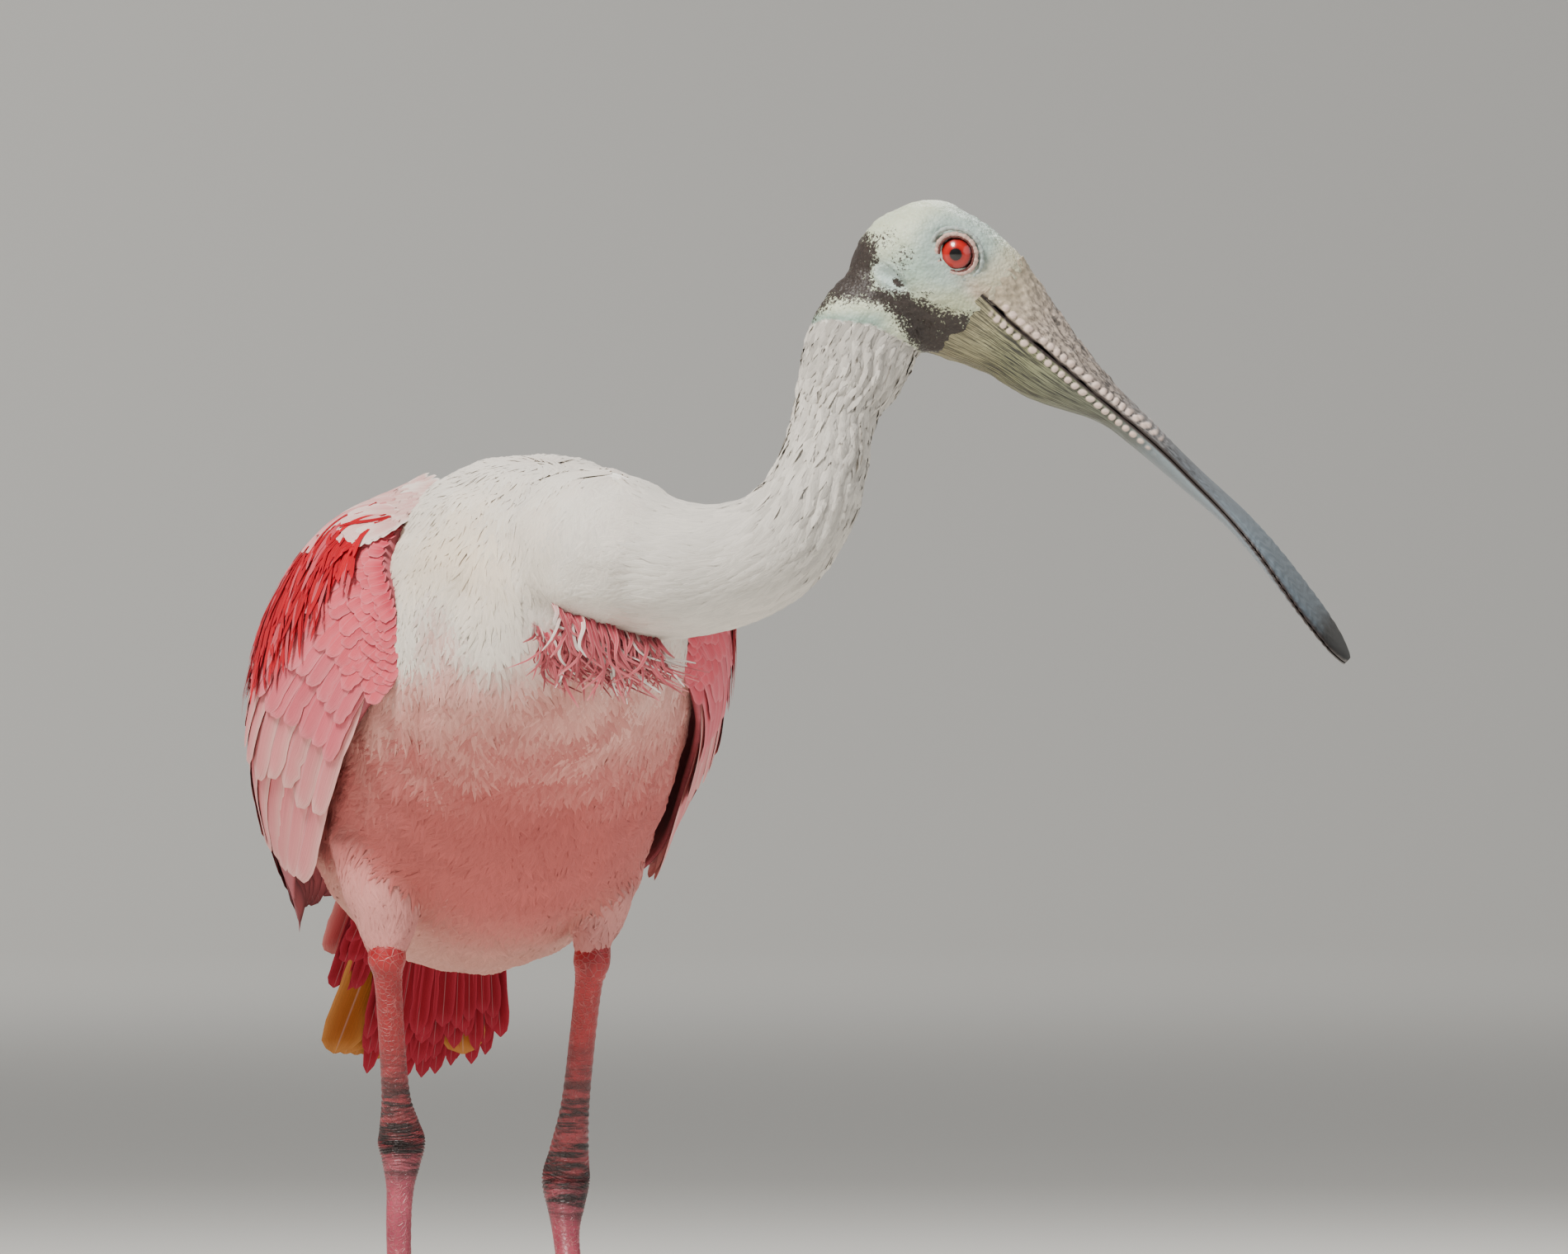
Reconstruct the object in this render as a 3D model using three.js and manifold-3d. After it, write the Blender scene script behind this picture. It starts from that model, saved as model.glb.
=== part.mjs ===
// A roseate spoonbill standing on both feet, head turned to its left. Millimetres, +Z up.
// While it is modelled the bird faces -Y, its left side is +X and the floor is z = 0.

import * as THREE from "three";
import Module from "manifold-3d";

const wasm = await Module();
wasm.setup();

// Driving dimensions
const gap = 0.3;                 // clear space between neighbouring parts
const floorLevel = 0;            // the soles rest here
const eyeRadius = 7.0;           // eyeball
const irisRadius = 5.2;          // opening between the lids
const billLength = 166;          // gape to tip along the bill
const spoonHalfWidth = 25.5;     // widest place of the spoon
const billPitch = 46;            // degrees below level
const headRoll = 9;              // degrees, crown leaning to the bird's right
const headYaw = -12;             // degrees, turn of the upright plane of neck and head
const headAway = -90;            // distance of that plane's head end from the origin
const heelHeightRight = 110;     // middle of the right ankle joint
const heelHeightLeft = 96.7;     // middle of the left ankle joint
const soleFlat = 0.7;            // depth taken off the toe pads
const trim = 0.1;                // flat triangles are merged within this
const featherTrim = 0.2;         // the same on feathered parts
const vaneThickness = 0.7;       // feathers of the wing
const tailVaneThickness = 0.65;  // feathers of the tail
const lockThickness = 0.8;       // loose plumes of breast, belly and thigh

const white = new THREE.MeshStandardMaterial({ color: 0xe9e2d8, roughness: 0.9 });
const wingPink = new THREE.MeshStandardMaterial({ color: 0xe68f97, roughness: 0.85 });
const headSkin = new THREE.MeshStandardMaterial({ color: 0xcfd6c4, roughness: 0.6 });
const billHorn = new THREE.MeshStandardMaterial({ color: 0x9c9f9f, roughness: 0.45 });
const billUnder = new THREE.MeshStandardMaterial({ color: 0x8b8f84, roughness: 0.5 });
const irisRed = new THREE.MeshStandardMaterial({ color: 0xd92a12, roughness: 0.1 });
const legRed = new THREE.MeshStandardMaterial({ color: 0xb8474c, roughness: 0.55 });
const tailTan = new THREE.MeshStandardMaterial({ color: 0xb5702f, roughness: 0.85 });

// Small vector helpers on plain arrays
const add = (a, b) => [a[0] + b[0], a[1] + b[1], a[2] + b[2]];
const sub = (a, b) => [a[0] - b[0], a[1] - b[1], a[2] - b[2]];
const mul = (a, k) => [a[0] * k, a[1] * k, a[2] * k];
const dot = (a, b) => a[0] * b[0] + a[1] * b[1] + a[2] * b[2];
const cross = (a, b) => [
  a[1] * b[2] - a[2] * b[1],
  a[2] * b[0] - a[0] * b[2],
  a[0] * b[1] - a[1] * b[0],
];
const unit = (a) => mul(a, 1 / Math.max(1e-9, Math.hypot(...a)));
const mix = (a, b, k) => a + (b - a) * k;
const rad = (degrees) => (degrees * Math.PI) / 180;

function seeded(seed) {
  let state = seed >>> 0;
  return () => {
    state = (state + 0x6d2b79f5) >>> 0;
    let value = Math.imul(state ^ (state >>> 15), 1 | state);
    value = (value + Math.imul(value ^ (value >>> 7), 61 | value)) ^ value;
    return ((value ^ (value >>> 14)) >>> 0) / 4294967296;
  };
}

// Catmull-Rom through rows of numbers, u from 0 to rows - 1
function through(rows, u) {
  const last = rows.length - 1;
  const i = Math.max(0, Math.min(last - 1, Math.floor(u)));
  const k = u - i;
  const at = (j) => {
    if (j < 0) return rows[0].map((v, n) => 2 * v - rows[1][n]);
    if (j > last) return rows[last].map((v, n) => 2 * v - rows[last - 1][n]);
    return rows[j];
  };
  const [p0, p1, p2, p3] = [at(i - 1), at(i), at(i + 1), at(i + 2)];
  return p1.map((v, n) => {
    const slope = p2[n] - p0[n];
    const square = 2 * p0[n] - 5 * v + 4 * p2[n] - p3[n];
    const cube = 3 * v - p0[n] - 3 * p2[n] + p3[n];
    return v + 0.5 * k * (slope + k * (square + k * cube));
  });
}

function solidFrom(points, faces) {
  let volume = 0;
  for (const [a, b, c] of faces) {
    volume += dot(points[a], cross(points[b], points[c]));
  }
  const turned = volume < 0 ? faces.map(([a, b, c]) => [a, c, b]) : faces;
  return new wasm.Manifold(new wasm.Mesh({
    numProp: 3,
    vertProperties: new Float32Array(points.flat()),
    triVerts: new Uint32Array(turned.flat()),
  }));
}

// Closed skin over rings that all have the same number of points
function loft(rings) {
  const count = rings[0].length;
  const points = rings.flat();
  const faces = [];
  for (let r = 0; r + 1 < rings.length; r += 1) {
    for (let i = 0; i < count; i += 1) {
      const a = r * count + i;
      const b = r * count + ((i + 1) % count);
      faces.push([a, b, b + count], [a, b + count, a + count]);
    }
  }
  for (const end of [0, rings.length - 1]) {
    const middle = rings[end].reduce((s, p) => add(s, mul(p, 1 / count)), [0, 0, 0]);
    points.push(middle);
    for (let i = 0; i < count; i += 1) {
      const a = end * count + i;
      const b = end * count + ((i + 1) % count);
      faces.push(end === 0 ? [b, a, points.length - 1] : [a, b, points.length - 1]);
    }
  }
  return solidFrom(points, faces);
}

// Ring about a centre: side and up are unit directions, square > 2 fills the corners
function ring(centre, side, up, halfWidth, halfHeight, count, square = 2, lowSquare = square,
  lowHeight = halfHeight) {
  const points = [];
  for (let i = 0; i < count; i += 1) {
    const angle = (2 * Math.PI * i) / count;
    const [c, s] = [Math.cos(angle), Math.sin(angle)];
    const power = 2 / (s >= 0 ? square : lowSquare);
    const x = Math.sign(c) * Math.abs(c) ** power * halfWidth;
    const y = Math.sign(s) * Math.abs(s) ** power * (s >= 0 ? halfHeight : lowHeight);
    points.push(add(centre, add(mul(side, x), mul(up, y))));
  }
  return points;
}

// Tube along rows of [x, y, z, radius, share of the radius sideways]
function tube(rows, steps, count, upHint = [0, 0, 1], from = 0, to = rows.length - 1) {
  const rings = [];
  let up = upHint;
  for (let i = 0; i <= steps; i += 1) {
    const u = mix(from, to, i / steps);
    const here = through(rows, u);
    const before = through(rows, Math.max(0, u - 0.05));
    const after = through(rows, Math.min(rows.length - 1, u + 0.05));
    const forward = unit(sub(after.slice(0, 3), before.slice(0, 3)));
    const side = unit(cross(forward, up));
    up = unit(cross(side, forward));
    rings.push(ring(here.slice(0, 3), side, up, here[3] * (here[4] ?? 1), here[3], count));
  }
  return loft(rings);
}

function largest(solid) {
  const pieces = solid.decompose();
  return pieces.reduce((best, piece) => (piece.volume() > best.volume() ? piece : best));
}

function joined(solids) {
  return solids.reduce((all, solid) => all.add(solid));
}

// Half space below a plane, as a large block to take away
function beyond(point, normal) {
  const n = unit(normal);
  const side = unit(cross(n, Math.abs(n[2]) > 0.9 ? [1, 0, 0] : [0, 0, 1]));
  const up = cross(side, n);
  const near = ring(point, side, up, 900, 900, 4);
  return loft([near, near.map((p) => add(p, mul(n, 900)))]);
}

const model = new THREE.Group();
model.name = "roseate_spoonbill";

// True when corners closer than a ten-thousandth can be welded and each edge keeps two faces
function weldsWell(solid) {
  const { numProp, vertProperties, triVerts } = solid.getMesh();
  const ids = new Map();
  const corner = (v) => {
    const key = [0, 1, 2].map((n) => Math.round(vertProperties[v * numProp + n] * 1e4)).join();
    if (!ids.has(key)) ids.set(key, ids.size);
    return ids.get(key);
  };
  const uses = new Map();
  for (let f = 0; f < triVerts.length; f += 3) {
    const face = [corner(triVerts[f]), corner(triVerts[f + 1]), corner(triVerts[f + 2])];
    if (new Set(face).size < 3) continue;
    for (let n = 0; n < 3; n += 1) {
      const [a, b] = [face[n], face[(n + 1) % 3]];
      const key = a < b ? `${a} ${b}` : `${b} ${a}`;
      uses.set(key, (uses.get(key) ?? 0) + 1);
    }
  }
  return [...uses.values()].every((count) => count === 2);
}

// Merge flat triangles, with a slightly different reach where the first leaves a bad edge
function tidied(solid, reach) {
  const main = largest(solid);
  let result = main;
  for (let n = 0; n < 48; n += 1) {
    result = largest(main.simplify(reach * (1 - 0.019 * n)));
    if (weldsWell(result)) return result;
  }
  return result;
}

function place(name, solid, material, reach = trim) {
  const whole = tidied(solid, reach);
  const data = whole.getMesh();
  const geometry = new THREE.BufferGeometry();
  const stride = data.numProp;
  const positions = new Float32Array((data.vertProperties.length / stride) * 3);
  for (let i = 0; i < positions.length / 3; i += 1) {
    for (let n = 0; n < 3; n += 1) positions[i * 3 + n] = data.vertProperties[i * stride + n];
  }
  geometry.setAttribute("position", new THREE.BufferAttribute(positions, 3));
  geometry.setIndex(Array.from(data.triVerts));
  geometry.computeVertexNormals();
  const mesh = new THREE.Mesh(geometry, material);
  mesh.name = name;
  model.add(mesh);
  return whole;
}

// Narrow strip of a feather with a square edge all round
function ribbon(rows, thick) {
  return loft(rows.map(({ at, side, normal, half }) => {
    const up = mul(normal, thick / 2);
    const out = mul(side, half);
    return [
      add(add(at, out), up),
      sub(add(at, up), out),
      sub(sub(at, out), up),
      sub(add(at, out), up),
    ];
  }));
}

// Torso and the root of the neck

// Back and belly lines: [y, centre height, half width, half height]
const torsoRows = [
  [168, 213, 9, 7],
  [160, 214, 18, 13],
  [146, 216, 27, 22],
  [120, 220, 41, 37.5],
  [90, 224, 52, 53],
  [60, 231, 59, 66],
  [30, 242, 61, 73],
  [0, 255, 61, 75],
  [-30, 269, 58, 70],
  [-55, 281, 53, 60],
  [-76, 287, 45, 50],
  [-91, 290, 34, 38],
  [-101, 291, 21, 24],
  [-105, 291, 8, 9],
];

// Neck in its own upright plane: [across, height, away, radius, share sideways]
const neckRows = [
  [4, 302, -58, 22, 1],
  [30, 308, -92, 28, 1],
  [50, 302.5, -100, 24.3, 1],
  [71, 302.5, -103, 21.2, 1],
  [88.5, 309, -105, 19.5, 0.98],
  [100, 321.5, -104, 17.5, 0.96],
  [106, 336, -101, 15.7, 0.95],
  [108.6, 347.4, -98, 14.7, 0.95],
  [111, 357, -95.5, 15.3, 0.92],
  [115.6, 368, -93, 18.3, 0.84],
  [120.5, 380, -91, 19.4, 0.8],
  [129, 391, -90, 18, 0.8],
];

const acrossWay = [Math.cos(rad(headYaw)), Math.sin(rad(headYaw)), 0];
const awayWay = [-Math.sin(rad(headYaw)), Math.cos(rad(headYaw)), 0];
const inPlane = (across, height, away) => add(
  add(mul(acrossWay, across), mul(awayWay, away)),
  [0, 0, height],
);
const neckPath = neckRows.map(([across, height, away, radius, share]) => [
  ...inPlane(across, height, away),
  radius,
  share,
]);

function torsoSolid(grow) {
  const rings = [];
  const steps = 17;
  for (let i = 0; i <= steps; i += 1) {
    const [y, z, w, h] = through(torsoRows, (i / steps) * (torsoRows.length - 1));
    rings.push(ring([0, y, z], [1, 0, 0], [0, 0, 1], w + grow, h + grow, 22, 2.25, 2.0));
  }
  return loft(rings);
}

function neckPlane(u) {
  const here = through(neckPath, u);
  const after = through(neckPath, u + 0.05);
  const before = through(neckPath, u - 0.05);
  return { point: here.slice(0, 3), way: unit(sub(after.slice(0, 3), before.slice(0, 3))) };
}

function neckPart(from, to, steps) {
  return tube(neckPath, steps, 18, [0, 0, 1], from, to);
}

// Cut between two parts of the neck, half the gap on each side
function neckCut(solid, u, side) {
  const { point, way } = neckPlane(u);
  const shifted = add(point, mul(way, (side * gap) / 2));
  return solid.subtract(beyond(shifted, mul(way, side === 1 ? -1 : 1)));
}

const rootCut = 2.4;
const middleCut = 6.0;
const topCut = 9.0;

const torsoBare = torsoSolid(0);
const torsoClear = torsoSolid(gap);
const neckRoot = neckCut(neckPart(0, rootCut + 0.3, 6), rootCut, -1);

// Loose plume: rows run from a buried root to a thin tip
function lock(path, normal, halfWidth) {
  const last = path.length - 1;
  const rows = path.map((at, i) => {
    const after = path[Math.min(last, i + 1)];
    const before = path[Math.max(0, i - 1)];
    const forward = unit(sub(after, before));
    const side = unit(cross(normal, forward));
    const half = halfWidth * [0.6, 1, 0.8, 0.22][Math.round((i / last) * 3)];
    return { at, side, normal: unit(cross(forward, side)), half };
  });
  return ribbon(rows, lockThickness);
}

// Tuft of curled plumes under the fold of the neck
function breastTuft() {
  const random = seeded(11);
  const plumes = [];
  for (let i = 0; i < 13; i += 1) {
    const row = i % 2;
    const x = mix(-8, 25, (i + 0.5) / 13);
    const drop = mix(17, 29, random());
    const lean = mix(-5, 5, random());
    const front = -105 - row * 2.6 - random() * 3;
    const path = [
      [x, -100, 290],
      [x + lean * 0.2, front - 4, 280],
      [x + lean * 0.6, front - 5, 280 - drop * 0.55],
      [x + lean * 1.3, front + 1, 280 - drop],
    ];
    plumes.push(lock(path, [0, -1, 0.25], mix(2.6, 3.6, random())));
  }
  return plumes;
}

// Shaggy lower edge of the belly
function bellyLocks() {
  const random = seeded(12);
  const plumes = [];
  for (let i = 0; i < 9; i += 1) {
    const x = mix(-34, 30, (i + 0.5) / 9);
    const y = mix(42, 66, random());
    const reach = mix(6, 11, random());
    const low = 231 - 65 * Math.sqrt(1 - (x / 59) ** 2);
    const path = [
      [x, y - 6, low + 4],
      [x, y, low - reach * 0.1],
      [x * 0.98, y + 5, low - reach * 0.6],
      [x * 0.96, y + 9, low - reach],
    ];
    plumes.push(lock(path, [0, -1, -0.4], mix(3.2, 4.4, random())));
  }
  return plumes;
}

place("torso", joined([torsoBare, neckRoot, ...breastTuft(), ...bellyLocks()]), white, featherTrim);

const neckLower = neckCut(
  neckCut(neckPart(rootCut - 0.2, middleCut + 0.2, 9), rootCut, 1),
  middleCut,
  -1,
).subtract(torsoClear);
place("neck_lower", neckLower, white);
const neckUpper = neckCut(
  neckCut(neckPart(middleCut - 0.2, topCut + 0.2, 6), middleCut, 1),
  topCut,
  -1,
);
place("neck_upper", neckUpper, white);

// Head and bill, along the bill from the gape: forward, up from the mouth line, left

const gape = inPlane(161.6, 389.3, headAway);
const billWay = add(mul(acrossWay, Math.cos(rad(billPitch))), [0, 0, -Math.sin(rad(billPitch))]);
const uprightWay = add(mul(acrossWay, Math.sin(rad(billPitch))), [0, 0, Math.cos(rad(billPitch))]);
const crownWay = sub(
  mul(uprightWay, Math.cos(rad(headRoll))),
  mul(awayWay, Math.sin(rad(headRoll))),
);
const leftWay = add(
  mul(awayWay, Math.cos(rad(headRoll))),
  mul(uprightWay, Math.sin(rad(headRoll))),
);
const headPoint = (forward, up, left) => add(
  add(gape, mul(billWay, forward)),
  add(mul(crownWay, up), mul(leftWay, left)),
);

// Skull: [forward, middle, height above, depth below, half width]
const skullRows = [
  [-46.6, -9.5, 2, 3, 3],
  [-45, -9, 7, 9, 9],
  [-41, -6, 13.3, 20, 14.5],
  [-35, -4, 16.8, 26, 17.2],
  [-27, -2.5, 18, 29, 18.2],
  [-18, -1, 18.3, 30.5, 18],
  [-10, 0.8, 17.4, 30.5, 16.6],
  [-3, 2, 16.3, 28.6, 14.8],
];

// Bill: [forward, mouth line, top, bottom, half width]
const billRows = [
  [-5, 2, 18.4, -27, 15],
  [2, 2.1, 17, -23.5, 13.3],
  [9, 2.3, 15.6, -19.8, 12.8],
  [17, 3, 14.3, -16.4, 12.2],
  [26, 3.9, 13.1, -14.2, 11.6],
  [33, 4.5, 12.3, -11.6, 11],
  [41, 5.2, 11.5, -7.4, 10.6],
  [49, 6, 11, -2.9, 10.2],
  [56, 6.7, 11, -0.4, 9.9],
  [64, 7.6, 11.1, 0.8, 9.6],
  [76, 8.4, 11.2, 2.2, 9.5],
  [88, 8.7, 11.5, 3.4, 10.2],
  [98, 9.1, 12, 4.6, 12],
  [108, 9.3, 12.2, 5.6, 15.2],
  [120, 8.9, 11.4, 5.5, 19.6],
  [132, 7.6, 9.9, 4.9, 23.5],
  [143, 6.2, 8.3, 4.1, spoonHalfWidth],
  [152, 5, 7, 3.2, 24.3],
  [159, 3.9, 5.8, 2.4, 20],
  [164, 3, 4.8, 1.7, 11.5],
  [billLength, 2.6, 4.1, 1.4, 5],
];

function skull() {
  const rings = [];
  const steps = 12;
  for (let i = 0; i <= steps; i += 1) {
    const row = through(skullRows, (i / steps) * (skullRows.length - 1));
    const [a, b, up, low, half] = row;
    rings.push(ring(headPoint(a, b, 0), leftWay, crownWay, half, up, 20, 2, 2, low));
  }
  return loft(rings);
}

function wholeBill() {
  const rings = [];
  const steps = 27;
  for (let i = 0; i <= steps; i += 1) {
    const row = through(billRows, (i / steps) * (billRows.length - 1));
    const [a, mouth, top, bottom, half] = row;
    const square = mix(2, 2.5, Math.min(1, Math.max(0, (a - 60) / 60)));
    const centre = headPoint(a, mouth, 0);
    rings.push(ring(centre, leftWay, crownWay, half, top - mouth, 14, square, square,
      mouth - bottom));
  }
  return loft(rings);
}

// Block from the mouth line up (side 1) or down (side -1), held off it by a shift
function mouthBlock(side, shift) {
  const rings = [];
  for (let i = 0; i <= 27; i += 1) {
    const [a, mouth] = through(billRows, (i / 27) * (billRows.length - 1));
    const stretch = i === 0 ? -4 : i === 27 ? 4 : 0;
    rings.push([[shift, -60], [shift, 60], [side * 80, 60], [side * 80, -60]].map(
      ([up, left]) => headPoint(a + stretch, mouth + up, left),
    ));
  }
  return loft(rings);
}

const eyeSeat = (side) => headPoint(-20, 5.6, side * 11.7);

function sphere(centre, radius, segments) {
  return wasm.Manifold.sphere(radius, segments).translate(centre);
}

// Bare rim round the eye
function lids(side) {
  const count = 12;
  const middle = headPoint(-20, 5.6, side * 16.2);
  const rings = [];
  for (let i = 0; i < count; i += 1) {
    const angle = (i / count) * 2 * Math.PI;
    const open = Math.cos(angle) * (irisRadius + 1.1);
    const rise = Math.sin(angle) * (irisRadius + 1.1) * 0.94;
    const at = headPoint(-20 + open, 5.6 + rise, side * (16.2 - 0.06 * open));
    rings.push(ring(at, unit(sub(at, middle)), leftWay, 1.35, 1.5, 4));
  }
  return closedLoop(rings);
}

// Skin over a loop of rings whose last joins the first
function closedLoop(rings) {
  const count = rings[0].length;
  const total = rings.length;
  const faces = [];
  for (let r = 0; r < total; r += 1) {
    for (let i = 0; i < count; i += 1) {
      const a = r * count + i;
      const b = r * count + ((i + 1) % count);
      const c = ((r + 1) % total) * count + i;
      const d = ((r + 1) % total) * count + ((i + 1) % count);
      faces.push([a, b, d], [a, d, c]);
    }
  }
  return solidFrom(rings.flat(), faces);
}

const faceCut = headPoint(-4, 0, 0);
let headSolid = joined([skull(), neckCut(neckPart(topCut - 0.2, 11, 5), topCut, 1)]);
for (const side of [-1, 1]) {
  headSolid = headSolid.add(lids(side));
}
for (const side of [-1, 1]) {
  headSolid = headSolid.subtract(sphere(eyeSeat(side), eyeRadius + gap, 16));
  const ear = sphere([0, 0, 0], 1, 12).scale([5.5, 1.6, 2.6]);
  const turn = -billPitch - 8;
  headSolid = headSolid.subtract(
    ear.rotate([0, -turn, headYaw]).translate(headPoint(-29.5, -15.5, side * 16.4)),
  );
}
headSolid = headSolid.subtract(beyond(add(faceCut, mul(billWay, -gap / 2)), billWay));
place("head", headSolid, headSkin);

const billSolid = wholeBill().subtract(beyond(add(faceCut, mul(billWay, gap / 2)), mul(billWay, -1)));
let billUpper = billSolid.subtract(mouthBlock(-1, gap / 2));
for (const side of [-1, 1]) {
  const slit = tube([
    [...headPoint(14.5, 12.6, side * 5.6), 0.5],
    [...headPoint(17.5, 12.9, side * 5.6), 1],
    [...headPoint(21.5, 12.2, side * 5.6), 1],
    [...headPoint(25.5, 11.2, side * 5.4), 0.5],
  ], 4, 6);
  billUpper = billUpper.subtract(slit);
}
place("bill_upper", billUpper, billHorn);
place("bill_lower", billSolid.subtract(mouthBlock(1, -gap / 2)), billUnder);
place("eye_right", sphere(eyeSeat(-1), eyeRadius - 0.05, 16), irisRed);
place("eye_left", sphere(eyeSeat(1), eyeRadius - 0.05, 16), irisRed);

// Wings

// Folded wing, right side, front to tips: four points each from the back down to the lower edge
const wingRows = [
  [[-33, -46, 327], [-52, -55, 309], [-51, -63, 289], [-49, -60, 270]],
  [[-33, -20, 333], [-62, -26, 314], [-66, -36, 282], [-59, -38, 248]],
  [[-30, 15, 327], [-69, 10, 301], [-77, 11, 264], [-62, 4, 227]],
  [[-23, 55, 311], [-66, 50, 285], [-78, 47, 244], [-62, 48, 204]],
  [[-16, 95, 289], [-53, 93, 266], [-67, 93, 229], [-55, 95, 191]],
  [[-11, 135, 261], [-38, 134, 244], [-53, 136, 211], [-46, 139, 184]],
  [[-8, 172, 236], [-25, 172, 223], [-37, 175, 200], [-38, 178, 178]],
  [[-7, 206, 212], [-17, 207, 202], [-26, 209, 184], [-31, 211, 166]],
];

function wingAt(side, s, t) {
  const rows = wingRows.map((row) => through(row, t * 3));
  const p = through(rows, s * 7);
  return [side * -p[0], p[1], p[2]];
}

function wingFrame(side, s, t) {
  const at = wingAt(side, s, t);
  const step = 0.012;
  const rear = unit(sub(wingAt(side, s + step, t), wingAt(side, s - step, t)));
  const low = unit(sub(wingAt(side, s, t + step), wingAt(side, s, t - step)));
  let out = unit(cross(rear, low));
  if (out[0] * side < 0) out = mul(out, -1);
  return { at, rear, low, out };
}

const wingLift = (side, s, t, lift) => {
  const { at, out } = wingFrame(side, s, t);
  return add(at, mul(out, lift));
};

// Flesh and inner feathering of the wing as one bent slab
function wingSlab(side) {
  const across = 6;
  const down = 6;
  const reach = 0.58;
  const points = [];
  const faces = [];
  for (const face of [0, 1]) {
    for (let i = 0; i <= across; i += 1) {
      for (let j = 0; j <= down; j += 1) {
        const s = 0.005 + (i / across) * reach;
        const t = 0.02 + (j / down) * 0.95;
        const body = Math.sin(Math.PI * Math.min(1, Math.max(0, t))) ** 0.7;
        const depth = 1.5 + 8.5 * body * (1 - i / across) ** 0.7;
        points.push(wingLift(side, s, t, face === 0 ? 0 : -depth));
      }
    }
  }
  const wide = down + 1;
  const half = (across + 1) * wide;
  for (let i = 0; i < across; i += 1) {
    for (let j = 0; j < down; j += 1) {
      const a = i * wide + j;
      const b = a + wide;
      faces.push([a, a + 1, b + 1], [a, b + 1, b]);
      faces.push([half + a, half + b + 1, half + a + 1], [half + a, half + b, half + b + 1]);
    }
  }
  const rim = [];
  for (let j = 0; j <= down; j += 1) rim.push(j);
  for (let i = 1; i <= across; i += 1) rim.push(i * wide + down);
  for (let j = down - 1; j >= 0; j -= 1) rim.push(across * wide + j);
  for (let i = across - 1; i > 0; i -= 1) rim.push(i * wide);
  for (let i = 0; i < rim.length; i += 1) {
    const a = rim[i];
    const b = rim[(i + 1) % rim.length];
    faces.push([a, half + a, half + b], [a, half + b, b]);
  }
  return solidFrom(points, faces);
}

const fullShape = [[0, 0.5], [0.4, 1], [0.88, 0.85], [1, 0.34]];
const shortShape = [[0, 0.7], [0.8, 1], [1, 0.4]];

// One vane over the wing from root to tip in wing places, rising as it goes back
function wingVane(side, from, to, halfWidth, lifts, tilt, shape) {
  const rows = shape.map(([k, share]) => {
    const s = mix(from[0], to[0], k);
    const t = mix(from[1], to[1], k);
    const lift = mix(lifts[0], lifts[1], k);
    const { at, low, rear, out } = wingFrame(side, s, t);
    const ahead = unit(add(
      mul(rear, (to[0] - from[0]) * 305),
      mul(low, (to[1] - from[1]) * 95),
    ));
    let across = unit(cross(out, ahead));
    if (dot(across, low) < 0) across = mul(across, -1);
    const turn = rad(tilt);
    return {
      at: add(at, mul(out, lift)),
      side: add(mul(across, Math.cos(turn)), mul(out, Math.sin(turn))),
      normal: sub(mul(out, Math.cos(turn)), mul(across, Math.sin(turn))),
      half: halfWidth * share,
    };
  });
  return ribbon(rows, vaneThickness);
}

// Tiers of the wing: count, first and last root, first and last tip, half width, lifts, tilt
const wingTiers = [
  {
    count: 4, roots: [[0.5, 0.85], [0.54, 0.5]], tips: [[0.86, 0.92], [1, 0.5]],
    half: 9, lifts: [-1.4, -1.2], tilt: 12, shape: fullShape,
  },
  {
    count: 6, roots: [[0.16, 0.86], [0.44, 0.28]], tips: [[0.45, 1.02], [0.86, 0.42]],
    half: 14, lifts: [-1.4, 1.4], tilt: 8, shape: fullShape,
  },
  {
    count: 3, roots: [[0.36, 0.34], [0.4, 0.08]], tips: [[0.84, 0.3], [0.78, 0.05]],
    half: 13, lifts: [-1, 3.2], tilt: 9, shape: fullShape,
  },
  {
    count: 4, roots: [[0.1, 0.8], [0.34, 0.2]], tips: [[0.3, 0.98], [0.56, 0.3]],
    half: 14.5, lifts: [-1.2, 3.4], tilt: 8, shape: shortShape,
  },
  {
    count: 4, roots: [[0.05, 0.74], [0.24, 0.18]], tips: [[0.2, 0.9], [0.41, 0.27]],
    half: 13.5, lifts: [-1.2, 3.6], tilt: 8, shape: shortShape,
  },
  {
    count: 4, roots: [[0.02, 0.68], [0.15, 0.16]], tips: [[0.13, 0.82], [0.28, 0.24]],
    half: 13, lifts: [-1.2, 3.4], tilt: 8, shape: shortShape,
  },
  {
    count: 4, roots: [[0.01, 0.92], [0.04, 0.14]], tips: [[0.1, 0.97], [0.17, 0.2]],
    half: 13, lifts: [-1.2, 2.6], tilt: 7, shape: shortShape,
  },
  {
    count: 3, roots: [[0.04, 0.07], [0.4, 0.03]], tips: [[0.22, 0.14], [0.62, 0.06]],
    half: 13, lifts: [-1.2, 5.4], tilt: 8, shape: shortShape,
  },
];

function wing(side, seed) {
  const random = seeded(seed);
  const parts = [wingSlab(side)];
  for (const tier of wingTiers) {
    for (let i = 0; i < tier.count; i += 1) {
      const k = tier.count === 1 ? 0 : i / (tier.count - 1);
      const spread = (random() - 0.5) * 0.014;
      const from = [
        mix(tier.roots[0][0], tier.roots[1][0], k),
        mix(tier.roots[0][1], tier.roots[1][1], k),
      ];
      const to = [
        mix(tier.tips[0][0], tier.tips[1][0], k) + spread,
        mix(tier.tips[0][1], tier.tips[1][1], k) + spread,
      ];
      const half = tier.half * mix(0.94, 1.06, random());
      parts.push(wingVane(side, from, to, half, tier.lifts, tier.tilt, tier.shape));
    }
  }
  return joined(parts);
}

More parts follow.
